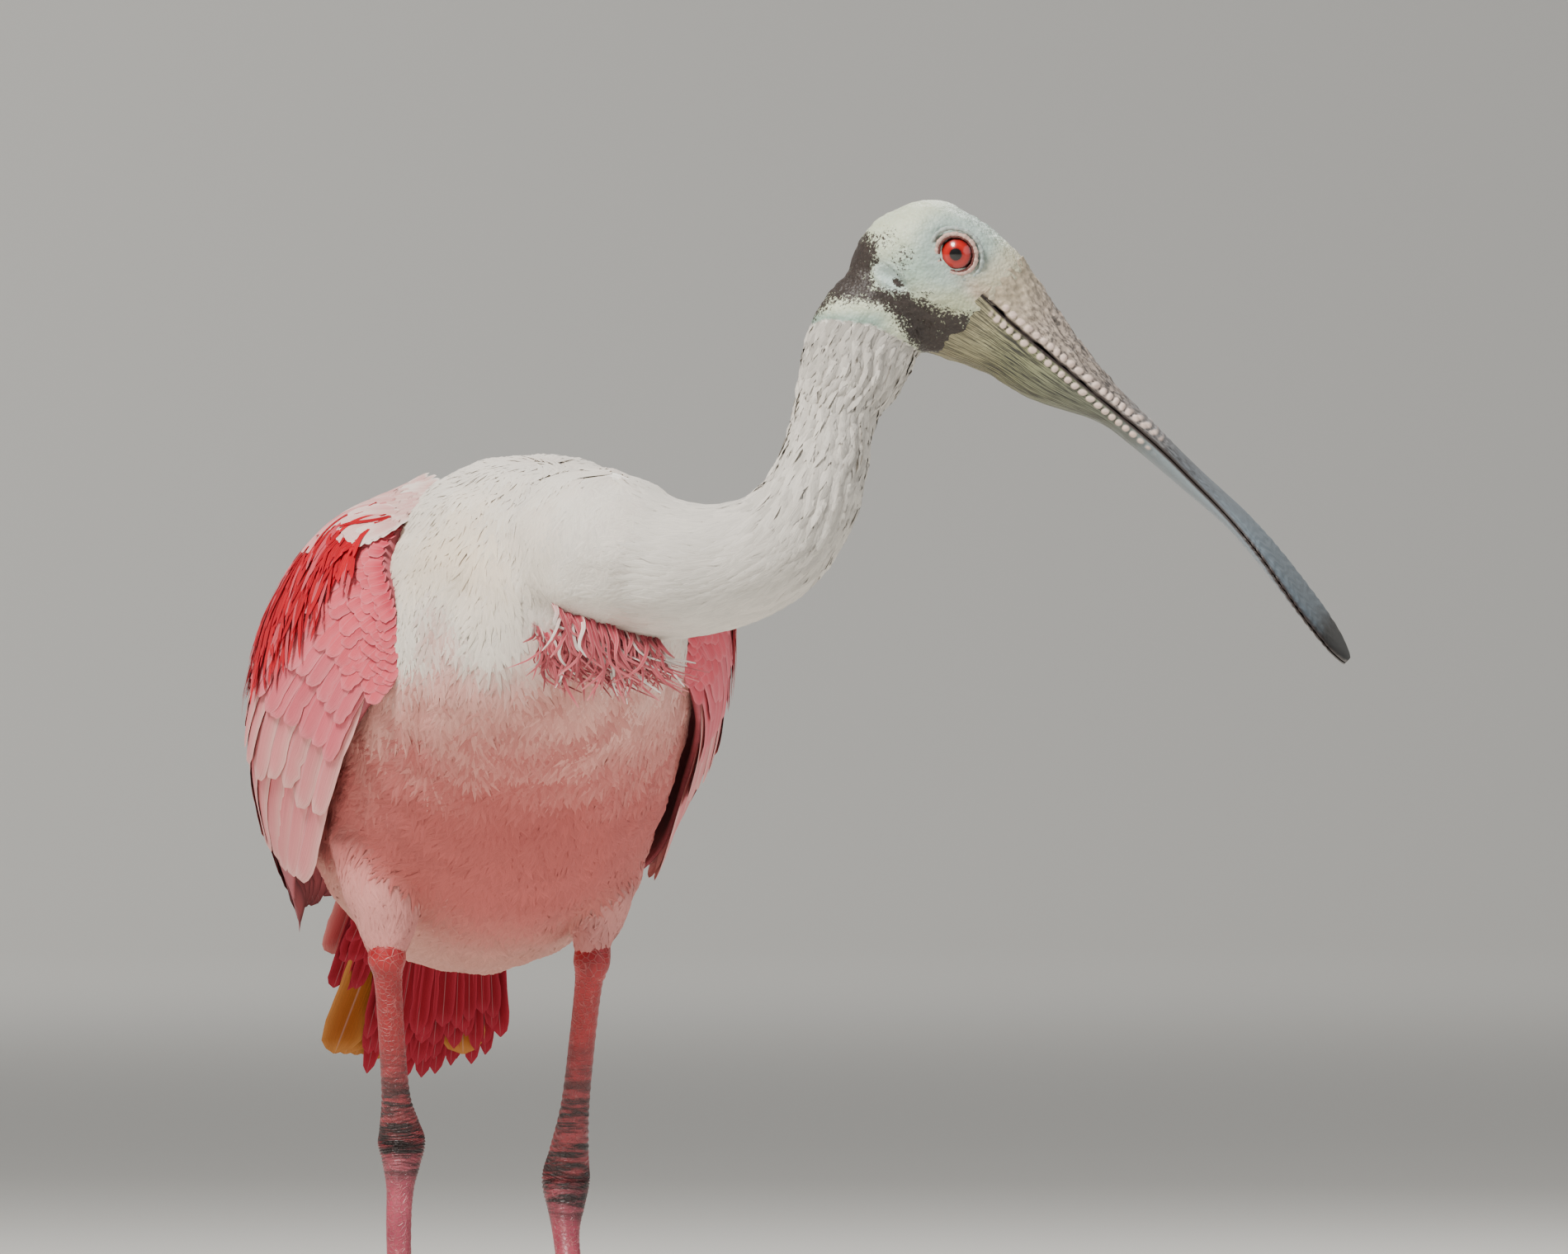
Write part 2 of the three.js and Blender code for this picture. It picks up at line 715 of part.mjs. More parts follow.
const wingRight = wing(-1, 25).subtract(torsoClear).subtract(beyond([-gap / 2, 0, 0], [1, 0, 0]));
const wingLeft = wing(1, 35).subtract(torsoClear).subtract(beyond([gap / 2, 0, 0], [-1, 0, 0]));
place("wing_right", wingRight, wingPink, featherTrim);
place("wing_left", wingLeft, wingPink, featherTrim);

// Tail

const tailDown = rad(46);
const tailWay = [0, Math.cos(tailDown), -Math.sin(tailDown)];
const tailUp = [0, Math.sin(tailDown), Math.cos(tailDown)];
const tailAt = (back, up, x) => add([x, 128, 209], add(mul(tailWay, back), mul(tailUp, up)));

function tailVane(x0, x1, back, up, halfWidth, shape, tilt) {
  const rows = shape.map(([k, share]) => {
    const side = [Math.cos(rad(tilt)), 0, 0];
    const turned = add(side, mul(tailUp, Math.sin(rad(tilt))));
    return {
      at: tailAt(mix(back[0], back[1], k), mix(up[0], up[1], k), mix(x0, x1, k)),
      side: turned,
      normal: unit(cross(turned, tailWay)),
      half: halfWidth * share,
    };
  });
  return ribbon(rows, tailVaneThickness);
}

function tail() {
  const random = seeded(31);
  const stump = [
    [[0, 118, 212], 18, 15],
    [[0, 138, 199], 20, 12],
    [[0, 156, 180], 17, 8],
    [[0, 167, 168.5], 12, 3.5],
  ].map(([at, half, high]) => ring(at, [1, 0, 0], tailUp, half, high, 14));
  const parts = [loft(stump)];
  for (let i = 0; i < 12; i += 1) {
    const k = i - 5.5;
    const rank = Math.abs(k) - 0.5;
    const drop = -rank * 1.05 - (k > 0 ? 0.5 : 0);
    const tip = 104 - rank * 1.6 + random() * 1.5;
    parts.push(tailVane(k * 1.9, k * 4.1, [22, tip], [drop * 0.8, drop], 8.5, fullShape, 0));
  }
  for (let i = 0; i < 5; i += 1) {
    const k = i - 2;
    const rank = Math.abs(k);
    const tip = 68 - rank * 4 + random() * 5;
    const lift = 4.6 - rank * 1.3 + (k > 0 ? 0 : 0.6);
    parts.push(tailVane(k * 5.4, k * 8.4, [6, tip], [lift * 0.5, lift], 9.5, shortShape, 0));
  }
  for (let i = 0; i < 7; i += 1) {
    const k = i - 3;
    const rank = Math.abs(k);
    const tip = 86 - rank * 6 + random() * 6;
    const lift = -9.4 + rank * 0.4 - (i % 2) * 1.2;
    parts.push(tailVane(k * 4.3, k * 6.6, [8, tip], [-5, lift], 8, shortShape, 0));
  }
  return joined(parts);
}

let tailSolid = tail().subtract(torsoClear);
place("tail", tailSolid, tailTan, featherTrim);

// Legs

// Take a body and its near surroundings away from another, so a gap is left between them
function clearOf(solid, other) {
  let left = solid.subtract(other);
  for (const axis of [0, 1, 2]) {
    for (const way of [-gap, gap]) {
      const shift = [0, 0, 0];
      shift[axis] = way;
      left = left.subtract(other.translate(shift));
    }
  }
  return left;
}

// Hip to toes: [x, y, z, radius]
const legRows = {
  right: [
    [-33, 30, 232, 20],
    [-36, 19, 215, 21],
    [-39, 8, 196, 16],
    [-40, 2, 181, 10],
    [-40.5, 0, 172, 6.4],
    [-39.8, 1.5, 165, 4.7],
    [-37.5, 7, 145, 4.4],
    [-35, 13, 126, 4.8],
    [-33, 17, 116, 6.6],
    [-32, 18.5, heelHeightRight, 7.9],
    [-32.2, 17.8, 103, 6.4],
    [-33, 16, 94, 4.6],
    [-34, 13, 80, 4.2],
    [-34, 10, 50, 3.9],
    [-34, 7, 25, 4.1],
    [-34, 5.4, 14, 4.8],
    [-34, 4.6, 7, 5.4],
  ],
  left: [
    [33, 36, 230, 20],
    [35, 26, 213, 20],
    [34, 13, 198, 15],
    [32, 8, 183, 9.6],
    [30.5, 5.5, 171, 6.2],
    [29.8, 7, 164, 4.7],
    [29, 14, 145, 4.4],
    [28.3, 23, 122, 4.8],
    [27.8, 31, 106, 6.6],
    [27.5, 35, heelHeightLeft, 8],
    [26.8, 31.5, 88, 6.3],
    [26, 27.5, 80, 4.7],
    [25.8, 22, 70, 4.2],
    [25.5, 4, 40, 3.9],
    [25.3, -8, 20, 4.1],
    [25.2, -13.2, 12, 4.8],
    [25.2, -16.5, 7, 5.4],
  ],
};

function legPart(rows, from, to, steps, count) {
  return tube(rows, steps, count, [0, 1, 0], from, to);
}

function legCut(rows, solid, u, side) {
  const here = through(rows, u).slice(0, 3);
  const way = unit(sub(through(rows, u + 0.05).slice(0, 3), through(rows, u - 0.05).slice(0, 3)));
  const shifted = add(here, mul(way, (side * gap) / 2));
  return solid.subtract(beyond(shifted, mul(way, side === 1 ? -1 : 1)));
}

// Feather fringe at the lower end of a thigh
function thighLocks(rows, seed) {
  const random = seeded(seed);
  const plumes = [];
  for (let i = 0; i < 6; i += 1) {
    const angle = (i / 6) * 2 * Math.PI + random() * 0.3;
    const start = through(rows, 2.5);
    const end = through(rows, 3.9 - random() * 0.2);
    const out = [Math.cos(angle), Math.sin(angle), 0];
    const wide = (row, k) => add(row.slice(0, 3), mul(out, row[3] * k));
    const path = [
      wide(start, 0.8),
      wide(through(rows, 3), 0.98),
      wide(through(rows, 3.5), 1.04),
      wide(end, 0.95),
    ];
    plumes.push(lock(path, out, mix(2.8, 3.6, random())));
  }
  return plumes;
}

const hingeCut = 4.0;
const heelCut = 10.2;
const footCut = 14.6;

// Toes: [turn from straight ahead in degrees, length, first pad radius]
const toes = [
  [0, 64, 4.2],
  [-27, 50, 3.9],
  [29, 56, 4],
  [176, 25, 3.4],
];

function toe(base, turn, length, radius, outward) {
  const angle = rad(-90 + turn * outward);
  const way = [Math.cos(angle), Math.sin(angle), 0];
  const rows = [];
  const joints = Math.max(2, Math.round(length / 18));
  const steps = joints * 2;
  for (let i = 0; i <= steps; i += 1) {
    const k = i / steps;
    const swell = 1 + 0.1 * Math.cos(k * joints * 2 * Math.PI);
    const size = radius * mix(1, 0.62, k) * swell;
    const at = add(base, mul(way, k * length));
    rows.push([at[0], at[1], size - soleFlat, size]);
  }
  const body = tube(rows, steps, 6);
  const nail = rows[steps];
  const tip = (k, up) => add(nail.slice(0, 3), add(mul(way, k), [0, 0, up]));
  const claw = tube([
    [...tip(-3, 0.2), 2.0],
    [...tip(1, 0.6), 1.7],
    [...tip(5, 0.2), 1.1],
    [...tip(9, -0.7), 0.4],
  ], 3, 4);
  return body.add(claw);
}

// Thin skin between the bases of the front toes
function web(base, first, second, reach, outward) {
  const angleOne = rad(-90 + first * outward);
  const angleTwo = rad(-90 + second * outward);
  const tipOne = add(base, [Math.cos(angleOne) * reach, Math.sin(angleOne) * reach, 0]);
  const tipTwo = add(base, [Math.cos(angleTwo) * reach, Math.sin(angleTwo) * reach, 0]);
  const middle = add(base, mul(sub(add(tipOne, tipTwo), mul(base, 2)), 0.36));
  const outline = [base, tipOne, middle, tipTwo];
  const low = outline.map((p) => [p[0], p[1], 1.2]);
  const high = outline.map((p) => [p[0], p[1], 2.8]);
  return loft([low, high]);
}

function foot(rows, outward) {
  const hub = through(rows, rows.length - 1);
  const base = [hub[0], hub[1], 0];
  const ankle = legPart(rows, footCut - 0.2, rows.length - 1, 4, 10);
  const parts = [legCut(rows, ankle, footCut, 1)];
  for (const [turn, length, radius] of toes) {
    parts.push(toe(base, turn, length, radius, outward));
  }
  parts.push(web(base, 0, -27, 19, outward));
  parts.push(web(base, 0, 29, 24, outward));
  return joined(parts).subtract(beyond([0, 0, floorLevel], [0, 0, -1]));
}

for (const [name, rows, outward, seed, wingSolid] of [
  ["right", legRows.right, -1, 41, wingRight],
  ["left", legRows.left, 1, 42, wingLeft],
]) {
  const upper = joined([legPart(rows, 0, hingeCut + 0.2, 8, 14), ...thighLocks(rows, seed)]);
  let thigh = legCut(rows, upper, hingeCut, -1).subtract(torsoClear);
  thigh = clearOf(thigh, wingSolid);
  place("thigh_" + name, thigh, white);
  const shin = legCut(rows, legPart(rows, hingeCut - 0.2, heelCut + 0.2, 16, 10), hingeCut, 1);
  place("tibia_" + name, legCut(rows, shin, heelCut, -1), legRed);
  const shank = legCut(rows, legPart(rows, heelCut - 0.2, footCut + 0.2, 10, 10), heelCut, 1);
  place("tarsus_" + name, legCut(rows, shank, footCut, -1), legRed);
  place("foot_" + name, foot(rows, outward), legRed);
}

// Stand the whole on the floor, its outline centred over the origin

const bounds = new THREE.Box3().setFromObject(model);
const shift = new THREE.Vector3(
  -(bounds.min.x + bounds.max.x) / 2,
  -(bounds.min.y + bounds.max.y) / 2,
  -bounds.min.z,
);
for (const mesh of model.children) {
  mesh.geometry.translate(shift.x, shift.y, shift.z);
}

export default model;
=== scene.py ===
import math

import bmesh
import bpy
import numpy as np
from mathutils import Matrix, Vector
from mathutils.bvhtree import BVHTree


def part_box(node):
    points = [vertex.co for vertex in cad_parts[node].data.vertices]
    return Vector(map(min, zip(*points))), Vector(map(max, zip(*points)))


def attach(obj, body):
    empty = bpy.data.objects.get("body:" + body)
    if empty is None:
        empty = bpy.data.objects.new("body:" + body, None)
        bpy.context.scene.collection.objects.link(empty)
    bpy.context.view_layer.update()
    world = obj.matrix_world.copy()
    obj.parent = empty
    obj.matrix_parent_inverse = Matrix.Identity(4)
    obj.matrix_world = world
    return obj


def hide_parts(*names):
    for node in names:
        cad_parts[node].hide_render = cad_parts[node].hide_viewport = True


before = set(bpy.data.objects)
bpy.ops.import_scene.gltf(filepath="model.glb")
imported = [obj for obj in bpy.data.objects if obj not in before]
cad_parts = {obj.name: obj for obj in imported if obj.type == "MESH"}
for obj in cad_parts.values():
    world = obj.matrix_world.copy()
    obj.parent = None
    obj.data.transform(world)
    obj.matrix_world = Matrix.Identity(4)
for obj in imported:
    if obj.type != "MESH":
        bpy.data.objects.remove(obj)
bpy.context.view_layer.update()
print("frame loaded")

# Modelled in millimetres in the frame the solids were drawn in, then moved into the row
seatOfEye = np.array([125.78, -131.46, 406.26])  # centre of the right eyeball in that frame
eyeLow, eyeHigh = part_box("eye_right")
rowShift = np.array((eyeLow + eyeHigh) / 2) * 1000 - seatOfEye


def rad(degrees):
    return degrees * math.pi / 180


def unit(vectors):
    vectors = np.asarray(vectors, float)
    return vectors / np.maximum(np.linalg.norm(vectors, axis=-1, keepdims=True), 1e-9)


def mix(a, b, share):
    return a + (b - a) * share


def ease(low, high, value):
    share = np.clip((np.asarray(value, float) - low) / (high - low), 0, 1)
    return share * share * (3 - 2 * share)


def through(rows, place):
    # Smooth curve through rows of numbers, place running from 0 to the last row.
    rows = np.asarray(rows, float)
    last = len(rows) - 1
    place = np.clip(np.asarray(place, float), 0, last)
    index = np.clip(np.floor(place).astype(int), 0, last - 1)
    part = (place - index)[..., None]
    wide = np.vstack([2 * rows[0] - rows[1], rows, 2 * rows[-1] - rows[-2]])
    before, here, after, later = wide[index], wide[index + 1], wide[index + 2], wide[index + 3]
    cube = 3 * here - before - 3 * after + later
    square = 2 * before - 5 * here + 4 * after - later
    return here + 0.5 * part * (after - before + part * (square + part * cube))


def linear(code):
    # A colour written as sRGB hex, in linear light.
    parts = [int(code[i:i + 2], 16) / 255 for i in (1, 3, 5)]
    return tuple(p / 12.92 if p <= 0.04045 else ((p + 0.055) / 1.055) ** 2.4 for p in parts)


def tone(code):
    return np.array(linear(code))


def smoothNoise(points, size, seed):
    # Soft noise in -1..1 from a few sine waves in random directions, size in mm.
    draw = np.random.default_rng(seed)
    total = np.zeros(len(points))
    for _ in range(7):
        way = unit(draw.normal(size=3))
        pace = 2 * math.pi / (size * draw.uniform(0.6, 1.5))
        total += np.sin(points @ way * pace + draw.uniform(0, 6.3))
    return total / 3.2


# Shared shape of the bird, the same named sizes as its solids

torsoRows = [  # along the body: y, centre height, half width, half height
    [168, 213, 9, 7],
    [160, 214, 18, 13],
    [146, 216, 27, 22],
    [120, 220, 41, 37.5],
    [90, 224, 52, 53],
    [60, 231, 59, 66],
    [30, 242, 61, 73],
    [0, 255, 61, 75],
    [-30, 269, 58, 70],
    [-55, 281, 53, 60],
    [-76, 287, 45, 50],
    [-91, 290, 34, 38],
    [-101, 291, 21, 24],
    [-105, 291, 8, 9],
]
neckRows = [  # in the neck's upright plane: across, height, away, radius, share sideways
    [4, 302, -58, 22, 1],
    [30, 308, -92, 28, 1],
    [50, 302.5, -100, 24.3, 1],
    [71, 302.5, -103, 21.2, 1],
    [88.5, 309, -105, 19.5, 0.98],
    [100, 321.5, -104, 17.5, 0.96],
    [106, 336, -101, 15.7, 0.95],
    [108.6, 347.4, -98, 14.7, 0.95],
    [111, 357, -95.5, 15.3, 0.92],
    [115.6, 368, -93, 18.3, 0.84],
    [120.5, 380, -91, 19.4, 0.8],
    [129, 391, -90, 18, 0.8],
]
skullRows = [  # along the bill's line: forward, middle, height above, depth below, half width
    [-46.6, -9.5, 2, 3, 3],
    [-45, -9, 7, 9, 9],
    [-41, -6, 13.3, 20, 14.5],
    [-35, -4, 16.8, 26, 17.2],
    [-27, -2.5, 18, 29, 18.2],
    [-18, -1, 18.3, 30.5, 18],
    [-10, 0.8, 17.4, 30.5, 16.6],
    [-3, 2, 16.3, 28.6, 14.8],
    [1, 2.1, 14.5, 25.6, 13.2],
]
billRows = [  # forward, mouth line, top, bottom, half width
    [-5, 2, 18.4, -27, 15],
    [2, 2.1, 17, -23.5, 13.3],
    [9, 2.3, 15.6, -19.8, 12.8],
    [17, 3, 14.3, -16.4, 12.2],
    [26, 3.9, 13.1, -14.2, 11.6],
    [33, 4.5, 12.3, -11.6, 11],
    [41, 5.2, 11.5, -7.4, 10.6],
    [49, 6, 11, -2.9, 10.2],
    [56, 6.7, 11, -0.4, 9.9],
    [64, 7.6, 11.1, 0.8, 9.6],
    [76, 8.4, 11.2, 2.2, 9.5],
    [88, 8.7, 11.5, 3.4, 10.2],
    [98, 9.1, 12, 4.6, 12],
    [108, 9.3, 12.2, 5.6, 15.2],
    [120, 8.9, 11.4, 5.5, 19.6],
    [132, 7.6, 9.9, 4.9, 23.5],
    [143, 6.2, 8.3, 4.1, 25.5],
    [152, 5, 7, 3.2, 24.3],
    [159, 3.9, 5.8, 2.4, 20],
    [164, 3, 4.8, 1.7, 11.5],
    [166, 2.6, 4.1, 1.4, 5],
]
wingRows = [  # right wing, front to tips: back, shoulder, side and lower edge
    [[-33, -46, 327], [-52, -55, 309], [-51, -63, 289], [-49, -60, 270]],
    [[-33, -20, 333], [-62, -26, 314], [-66, -36, 282], [-59, -38, 248]],
    [[-30, 15, 327], [-69, 10, 301], [-77, 11, 264], [-62, 4, 227]],
    [[-23, 55, 311], [-66, 50, 285], [-78, 47, 244], [-62, 48, 204]],
    [[-16, 95, 289], [-53, 93, 266], [-67, 93, 229], [-55, 95, 191]],
    [[-11, 135, 261], [-38, 134, 244], [-53, 136, 211], [-46, 139, 184]],
    [[-8, 172, 236], [-25, 172, 223], [-37, 175, 200], [-38, 178, 178]],
    [[-7, 206, 212], [-17, 207, 202], [-26, 209, 184], [-31, 211, 166]],
]
legRows = {  # hip to toes: x, y, z, radius
    "right": [
        [-33, 30, 232, 20],
        [-36, 19, 215, 21],
        [-39, 8, 196, 16],
        [-40, 2, 181, 10],
        [-40.5, 0, 172, 6.4],
        [-39.8, 1.5, 165, 4.7],
        [-37.5, 7, 145, 4.4],
        [-35, 13, 126, 4.8],
        [-33, 17, 116, 6.6],
        [-32, 18.5, 110, 7.9],
        [-32.2, 17.8, 103, 6.4],
        [-33, 16, 94, 4.6],
        [-34, 13, 80, 4.2],
        [-34, 10, 50, 3.9],
        [-34, 7, 25, 4.1],
        [-34, 5.4, 14, 4.8],
        [-34, 4.6, 7, 5.4],
    ],
    "left": [
        [33, 36, 230, 20],
        [35, 26, 213, 20],
        [34, 13, 198, 15],
        [32, 8, 183, 9.6],
        [30.5, 5.5, 171, 6.2],
        [29.8, 7, 164, 4.7],
        [29, 14, 145, 4.4],
        [28.3, 23, 122, 4.8],
        [27.8, 31, 106, 6.6],
        [27.5, 35, 96.7, 8],
        [26.8, 31.5, 88, 6.3],
        [26, 27.5, 80, 4.7],
        [25.8, 22, 70, 4.2],
        [25.5, 4, 40, 3.9],
        [25.3, -8, 20, 4.1],
        [25.2, -13.2, 12, 4.8],
        [25.2, -16.5, 7, 5.4],
    ],
}
headYaw = rad(-12)
billPitch = rad(46)
headRoll = rad(9)
acrossWay = np.array([math.cos(headYaw), math.sin(headYaw), 0])
awayWay = np.array([-math.sin(headYaw), math.cos(headYaw), 0])
skyWay = np.array([0, 0, 1.0])


def inPlane(across, height, away):
    return acrossWay * across + awayWay * away + skyWay * height


neckPath = np.array([[*inPlane(*row[:3]), row[3], row[4]] for row in neckRows])
gape = inPlane(161.6, 389.3, -90)
billWay = acrossWay * math.cos(billPitch) - skyWay * math.sin(billPitch)
uprightWay = acrossWay * math.sin(billPitch) + skyWay * math.cos(billPitch)
crownWay = uprightWay * math.cos(headRoll) - awayWay * math.sin(headRoll)
leftWay = awayWay * math.cos(headRoll) + uprightWay * math.sin(headRoll)


def headPoints(forward, up, left):
    forward, up, left = np.broadcast_arrays(forward, up, left)
    return (gape + forward[..., None] * billWay + up[..., None] * crownWay
            + left[..., None] * leftWay)


def headPlaces(points):
    # Forward of the gape, up from the mouth line and left of the middle, for each point.
    away = np.asarray(points) - gape
    return away @ billWay, away @ crownWay, away @ leftWay


# Meshes

def meshObject(name, points, faces, material):
    # A mesh from points in the drawing frame, in millimetres.
    mesh = bpy.data.meshes.new(name)
    spots = (np.asarray(points, float) + rowShift) / 1000
    mesh.from_pydata(spots.tolist(), [], [list(map(int, face)) for face in faces])
    mesh.update()
    piece = bpy.data.objects.new(name, mesh)
    bpy.context.scene.collection.objects.link(piece)
    if material:
        mesh.materials.append(material)
    mesh.polygons.foreach_set("use_smooth", [True] * len(mesh.polygons))
    return piece


def pointField(piece, name, values, kind="FLOAT"):
    values = np.asarray(values, np.float32)
    field = piece.data.attributes.new(name, kind, "POINT")
    if kind == "FLOAT_COLOR":
        values = np.column_stack([values, np.ones(len(values))]).astype(np.float32)
        field.data.foreach_set("color", values.ravel())
    elif kind == "FLOAT_VECTOR":
        field.data.foreach_set("vector", values.ravel())
    else:
        field.data.foreach_set("value", values.ravel())


def uvMap(piece, name, perPoint):
    # Writes a UV map from one pair of numbers for each vertex.
    corners = np.empty(len(piece.data.loops), np.int64)
    piece.data.loops.foreach_get("vertex_index", corners)
    layer = piece.data.uv_layers.new(name=name)
    layer.uv.foreach_set("vector", np.asarray(perPoint, np.float32)[corners].ravel())


def ringOf(centre, side, up, halfWidth, halfHeight, count, square=2.0, low=None):
    # Points round a centre, fuller in the corners where square is over 2.
    low = halfHeight if low is None else low
    angle = np.linspace(0, 2 * math.pi, count, endpoint=False)
    c, s = np.cos(angle), np.sin(angle)
    power = np.where(s >= 0, 2 / square, 1)
    x = np.sign(c) * np.abs(c) ** power * halfWidth
    y = np.sign(s) * np.abs(s) ** power * np.where(s >= 0, halfHeight, low)
    return np.asarray(centre) + x[:, None] * side + y[:, None] * up


def skinOver(rings):
    # Points and faces of a skin over rings of equal size, capped at both ends.
    rings = np.asarray(rings)
    total, count = rings.shape[:2]
    points = rings.reshape(-1, 3)
    faces = []
    for r in range(total - 1):
        for i in range(count):
            a, b = r * count + i, r * count + (i + 1) % count
            faces.append((a, b, b + count, a + count))
    faces.append(tuple(range(count - 1, -1, -1)))
    faces.append(tuple(range((total - 1) * count, total * count)))
    return points, faces


def tubeRings(rows, places, count, upHint, extra=None):
    # Rings round a path of x, y, z, radius, share sideways; extra(place, angle) swells them.
    rows = np.asarray(rows, float)
    rings = []
    up = np.asarray(upHint, float)
    angles = np.linspace(0, 2 * math.pi, count, endpoint=False)
    for place in places:
        here = through(rows, place)
        ahead = through(rows, min(len(rows) - 1, place + 0.05))
        behind = through(rows, max(0, place - 0.05))
        forward = unit(ahead[:3] - behind[:3])
        side = unit(np.cross(forward, up))
        up = unit(np.cross(side, forward))
        share = here[4] if len(here) > 4 else 1
        swell = np.ones(count) if extra is None else extra(place, angles)
        x = np.cos(angles) * here[3] * share * swell
        y = np.sin(angles) * here[3] * swell
        rings.append(here[:3] + x[:, None] * side + y[:, None] * up)
    return np.array(rings)


def joinParts(parts):
    # One list of points and faces from several.
    points, faces, start = [], [], 0
    for some, shown in parts:
        points.append(np.asarray(some))
        faces.extend([tuple(i + start for i in face) for face in shown])
        start += len(some)
    return np.vstack(points), faces


# Materials

def addNode(tree, kind, inputs=None, output=0, stops=(), **settings):
    # One shader node: its inputs are numbers, colours or other nodes' outputs, its settings
    # are constants, and stops are the places and colours of a colour ramp
    made = tree.nodes.new("ShaderNode" + kind)
    for name, value in settings.items():
        setattr(made, name, value)
    for index, (place, colour) in enumerate(stops):
        elements = made.color_ramp.elements
        element = elements[index] if index < 2 else elements.new(place)
        element.position = place
        element.color = (*(colour if isinstance(colour, tuple) else (colour,) * 3), 1)
    for name, value in (inputs or {}).items():
        if isinstance(value, bpy.types.NodeSocket):
            tree.links.new(value, made.inputs[name])
        elif isinstance(value, tuple) and made.inputs[name].type == "RGBA":
            made.inputs[name].default_value = (*value, 1)
        else:
            made.inputs[name].default_value = value
    return made.outputs[output]


def newMaterial(name, inputs):
    # A material with one Principled shader, whose inputs are constants of its sockets
    material = bpy.data.materials.new(name)
    material.use_nodes = True
    tree = material.node_tree
    tree.nodes.clear()
    surface = addNode(tree, "BsdfPrincipled", inputs)
    tree.links.new(surface, tree.nodes.new("ShaderNodeOutputMaterial").inputs["Surface"])
    return material, tree, surface.node


mixing = {"data_type": "RGBA", "blend_type": "MIX"}   # a mix of two colours
tinting = {"data_type": "RGBA", "blend_type": "MULTIPLY"}
times = {"operation": "MULTIPLY"}
plus = {"operation": "ADD"}
timesPlus = {"operation": "MULTIPLY_ADD"}
timesWithin = {"operation": "MULTIPLY", "use_clamp": True}


def plumageMaterial(name, barbs):
    # Feather vane, keratin barbs lying side by side: matt and a little downy at grazing light.
    # IOR 1.5, roughness 0.85; barbs is how many streaks show across one vane, far fewer than
    # the real ones 0.3 mm apart, which are too fine to show
    material, tree, shader = newMaterial(name, {
        "Roughness": 0.85, "IOR": 1.5, "Sheen Weight": 0.04, "Sheen Roughness": 0.45,
        "Specular IOR Level": 0.12,
    })
    tint = addNode(tree, "Attribute", output="Color", attribute_name="tint")
    vane = addNode(tree, "UVMap", uv_map="vane")
    drawn = addNode(tree, "Mapping", {"Vector": vane, "Scale": (barbs, 1.4, 1.0)})
    streaks = addNode(tree, "TexNoise", {"Vector": drawn, "Scale": 1.0, "Detail": 2.0,
                                         "Roughness": 0.55})
    soft = addNode(tree, "ValToRGB", {"Fac": streaks}, stops=[(0.25, 0.80), (0.7, 1.0)])
    colour = addNode(tree, "Mix", {0: 1.0, 6: tint, 7: soft}, 2, **tinting)
    relief = addNode(tree, "Bump", {"Height": streaks, "Distance": 0.0004, "Strength": 0.5})
    tree.links.new(colour, shader.inputs["Base Color"])
    tree.links.new(relief, shader.inputs["Normal"])
    return material


plume = plumageMaterial("body plumage", 9.0)                   # soft contour feathers
flightPlume = plumageMaterial("wing and tail feathers", 34.0)  # firm vanes, fine barbs
print("materials for plumage made")


# Skin of head, neck, body and thighs as one surface

skinSizes = {
    "torsoInset": 2.5,   # the coat's depth over the body, mm
    "neckInset": 1.2,
    "thighInset": 2.0,
    "voxel": 1.5,        # mm
    "smoothing": 14,
}


def neckRings(inset, first, last, steps, count):
    rows = neckPath.copy()
    rows[:, 3] -= inset
    return tubeRings(rows, np.linspace(first, last, steps), count, (0, 0, 1))


def headRings(steps, count):
    rings = []
    for place in np.linspace(0, len(skullRows) - 1, steps):
        a, b, up, low, half = through(skullRows, place)
        rings.append(ringOf(headPoints(a, b, 0), leftWay, crownWay, half, up, count, low=low))
    return rings


def makeSkin():
    inset = skinSizes["torsoInset"]
    torso = []
    for place in np.linspace(0, len(torsoRows) - 1, 60):
        y, z, half, high = through(torsoRows, place)
        half, high = max(half - inset, 3), max(high - inset, 3)
        torso.append(ringOf((0, y, z), np.array([1.0, 0, 0]), skyWay, half, high, 56, 2.25))
    parts = [skinOver(torso), skinOver(neckRings(skinSizes["neckInset"], 0, 11, 90, 40)),
             skinOver(headRings(50, 48))]
    for rows in legRows.values():
        rows = np.array(rows, float)
        rows[:, 3] = np.maximum(rows[:, 3] - skinSizes["thighInset"], 4.2)
        parts.append(skinOver(tubeRings(rows, np.linspace(0, 4.9, 34), 30, (0, 1, 0))))
    points, faces = joinParts(parts)
    piece = meshObject("skin", points, faces, None)
    bpy.context.view_layer.objects.active = piece
    remesh = piece.modifiers.new("remesh", "REMESH")
    remesh.mode = "VOXEL"
    remesh.voxel_size = skinSizes["voxel"] / 1000
    soft = piece.modifiers.new("soft", "SMOOTH")
    soft.iterations = skinSizes["smoothing"]
    soft.factor = 0.5
    whole = piece.evaluated_get(bpy.context.evaluated_depsgraph_get())
    mesh = bpy.data.meshes.new_from_object(whole)
    bpy.data.objects.remove(piece)
    return mesh


def meshArrays(mesh):
    points = np.empty(len(mesh.vertices) * 3)
    mesh.vertices.foreach_get("co", points)
    normals = np.empty(len(mesh.vertices) * 3)
    mesh.vertex_normals.foreach_get("vector", normals)
    return points.reshape(-1, 3) * 1000 - rowShift, normals.reshape(-1, 3)


skinMesh = makeSkin()
skinPoints, skinNormals = meshArrays(skinMesh)
print("skin of", len(skinPoints), "points")


# Places on the body that the markings and the coat follow

pathPlaces = np.linspace(0, 11, 221)
pathPoints = through(neckPath, pathPlaces)


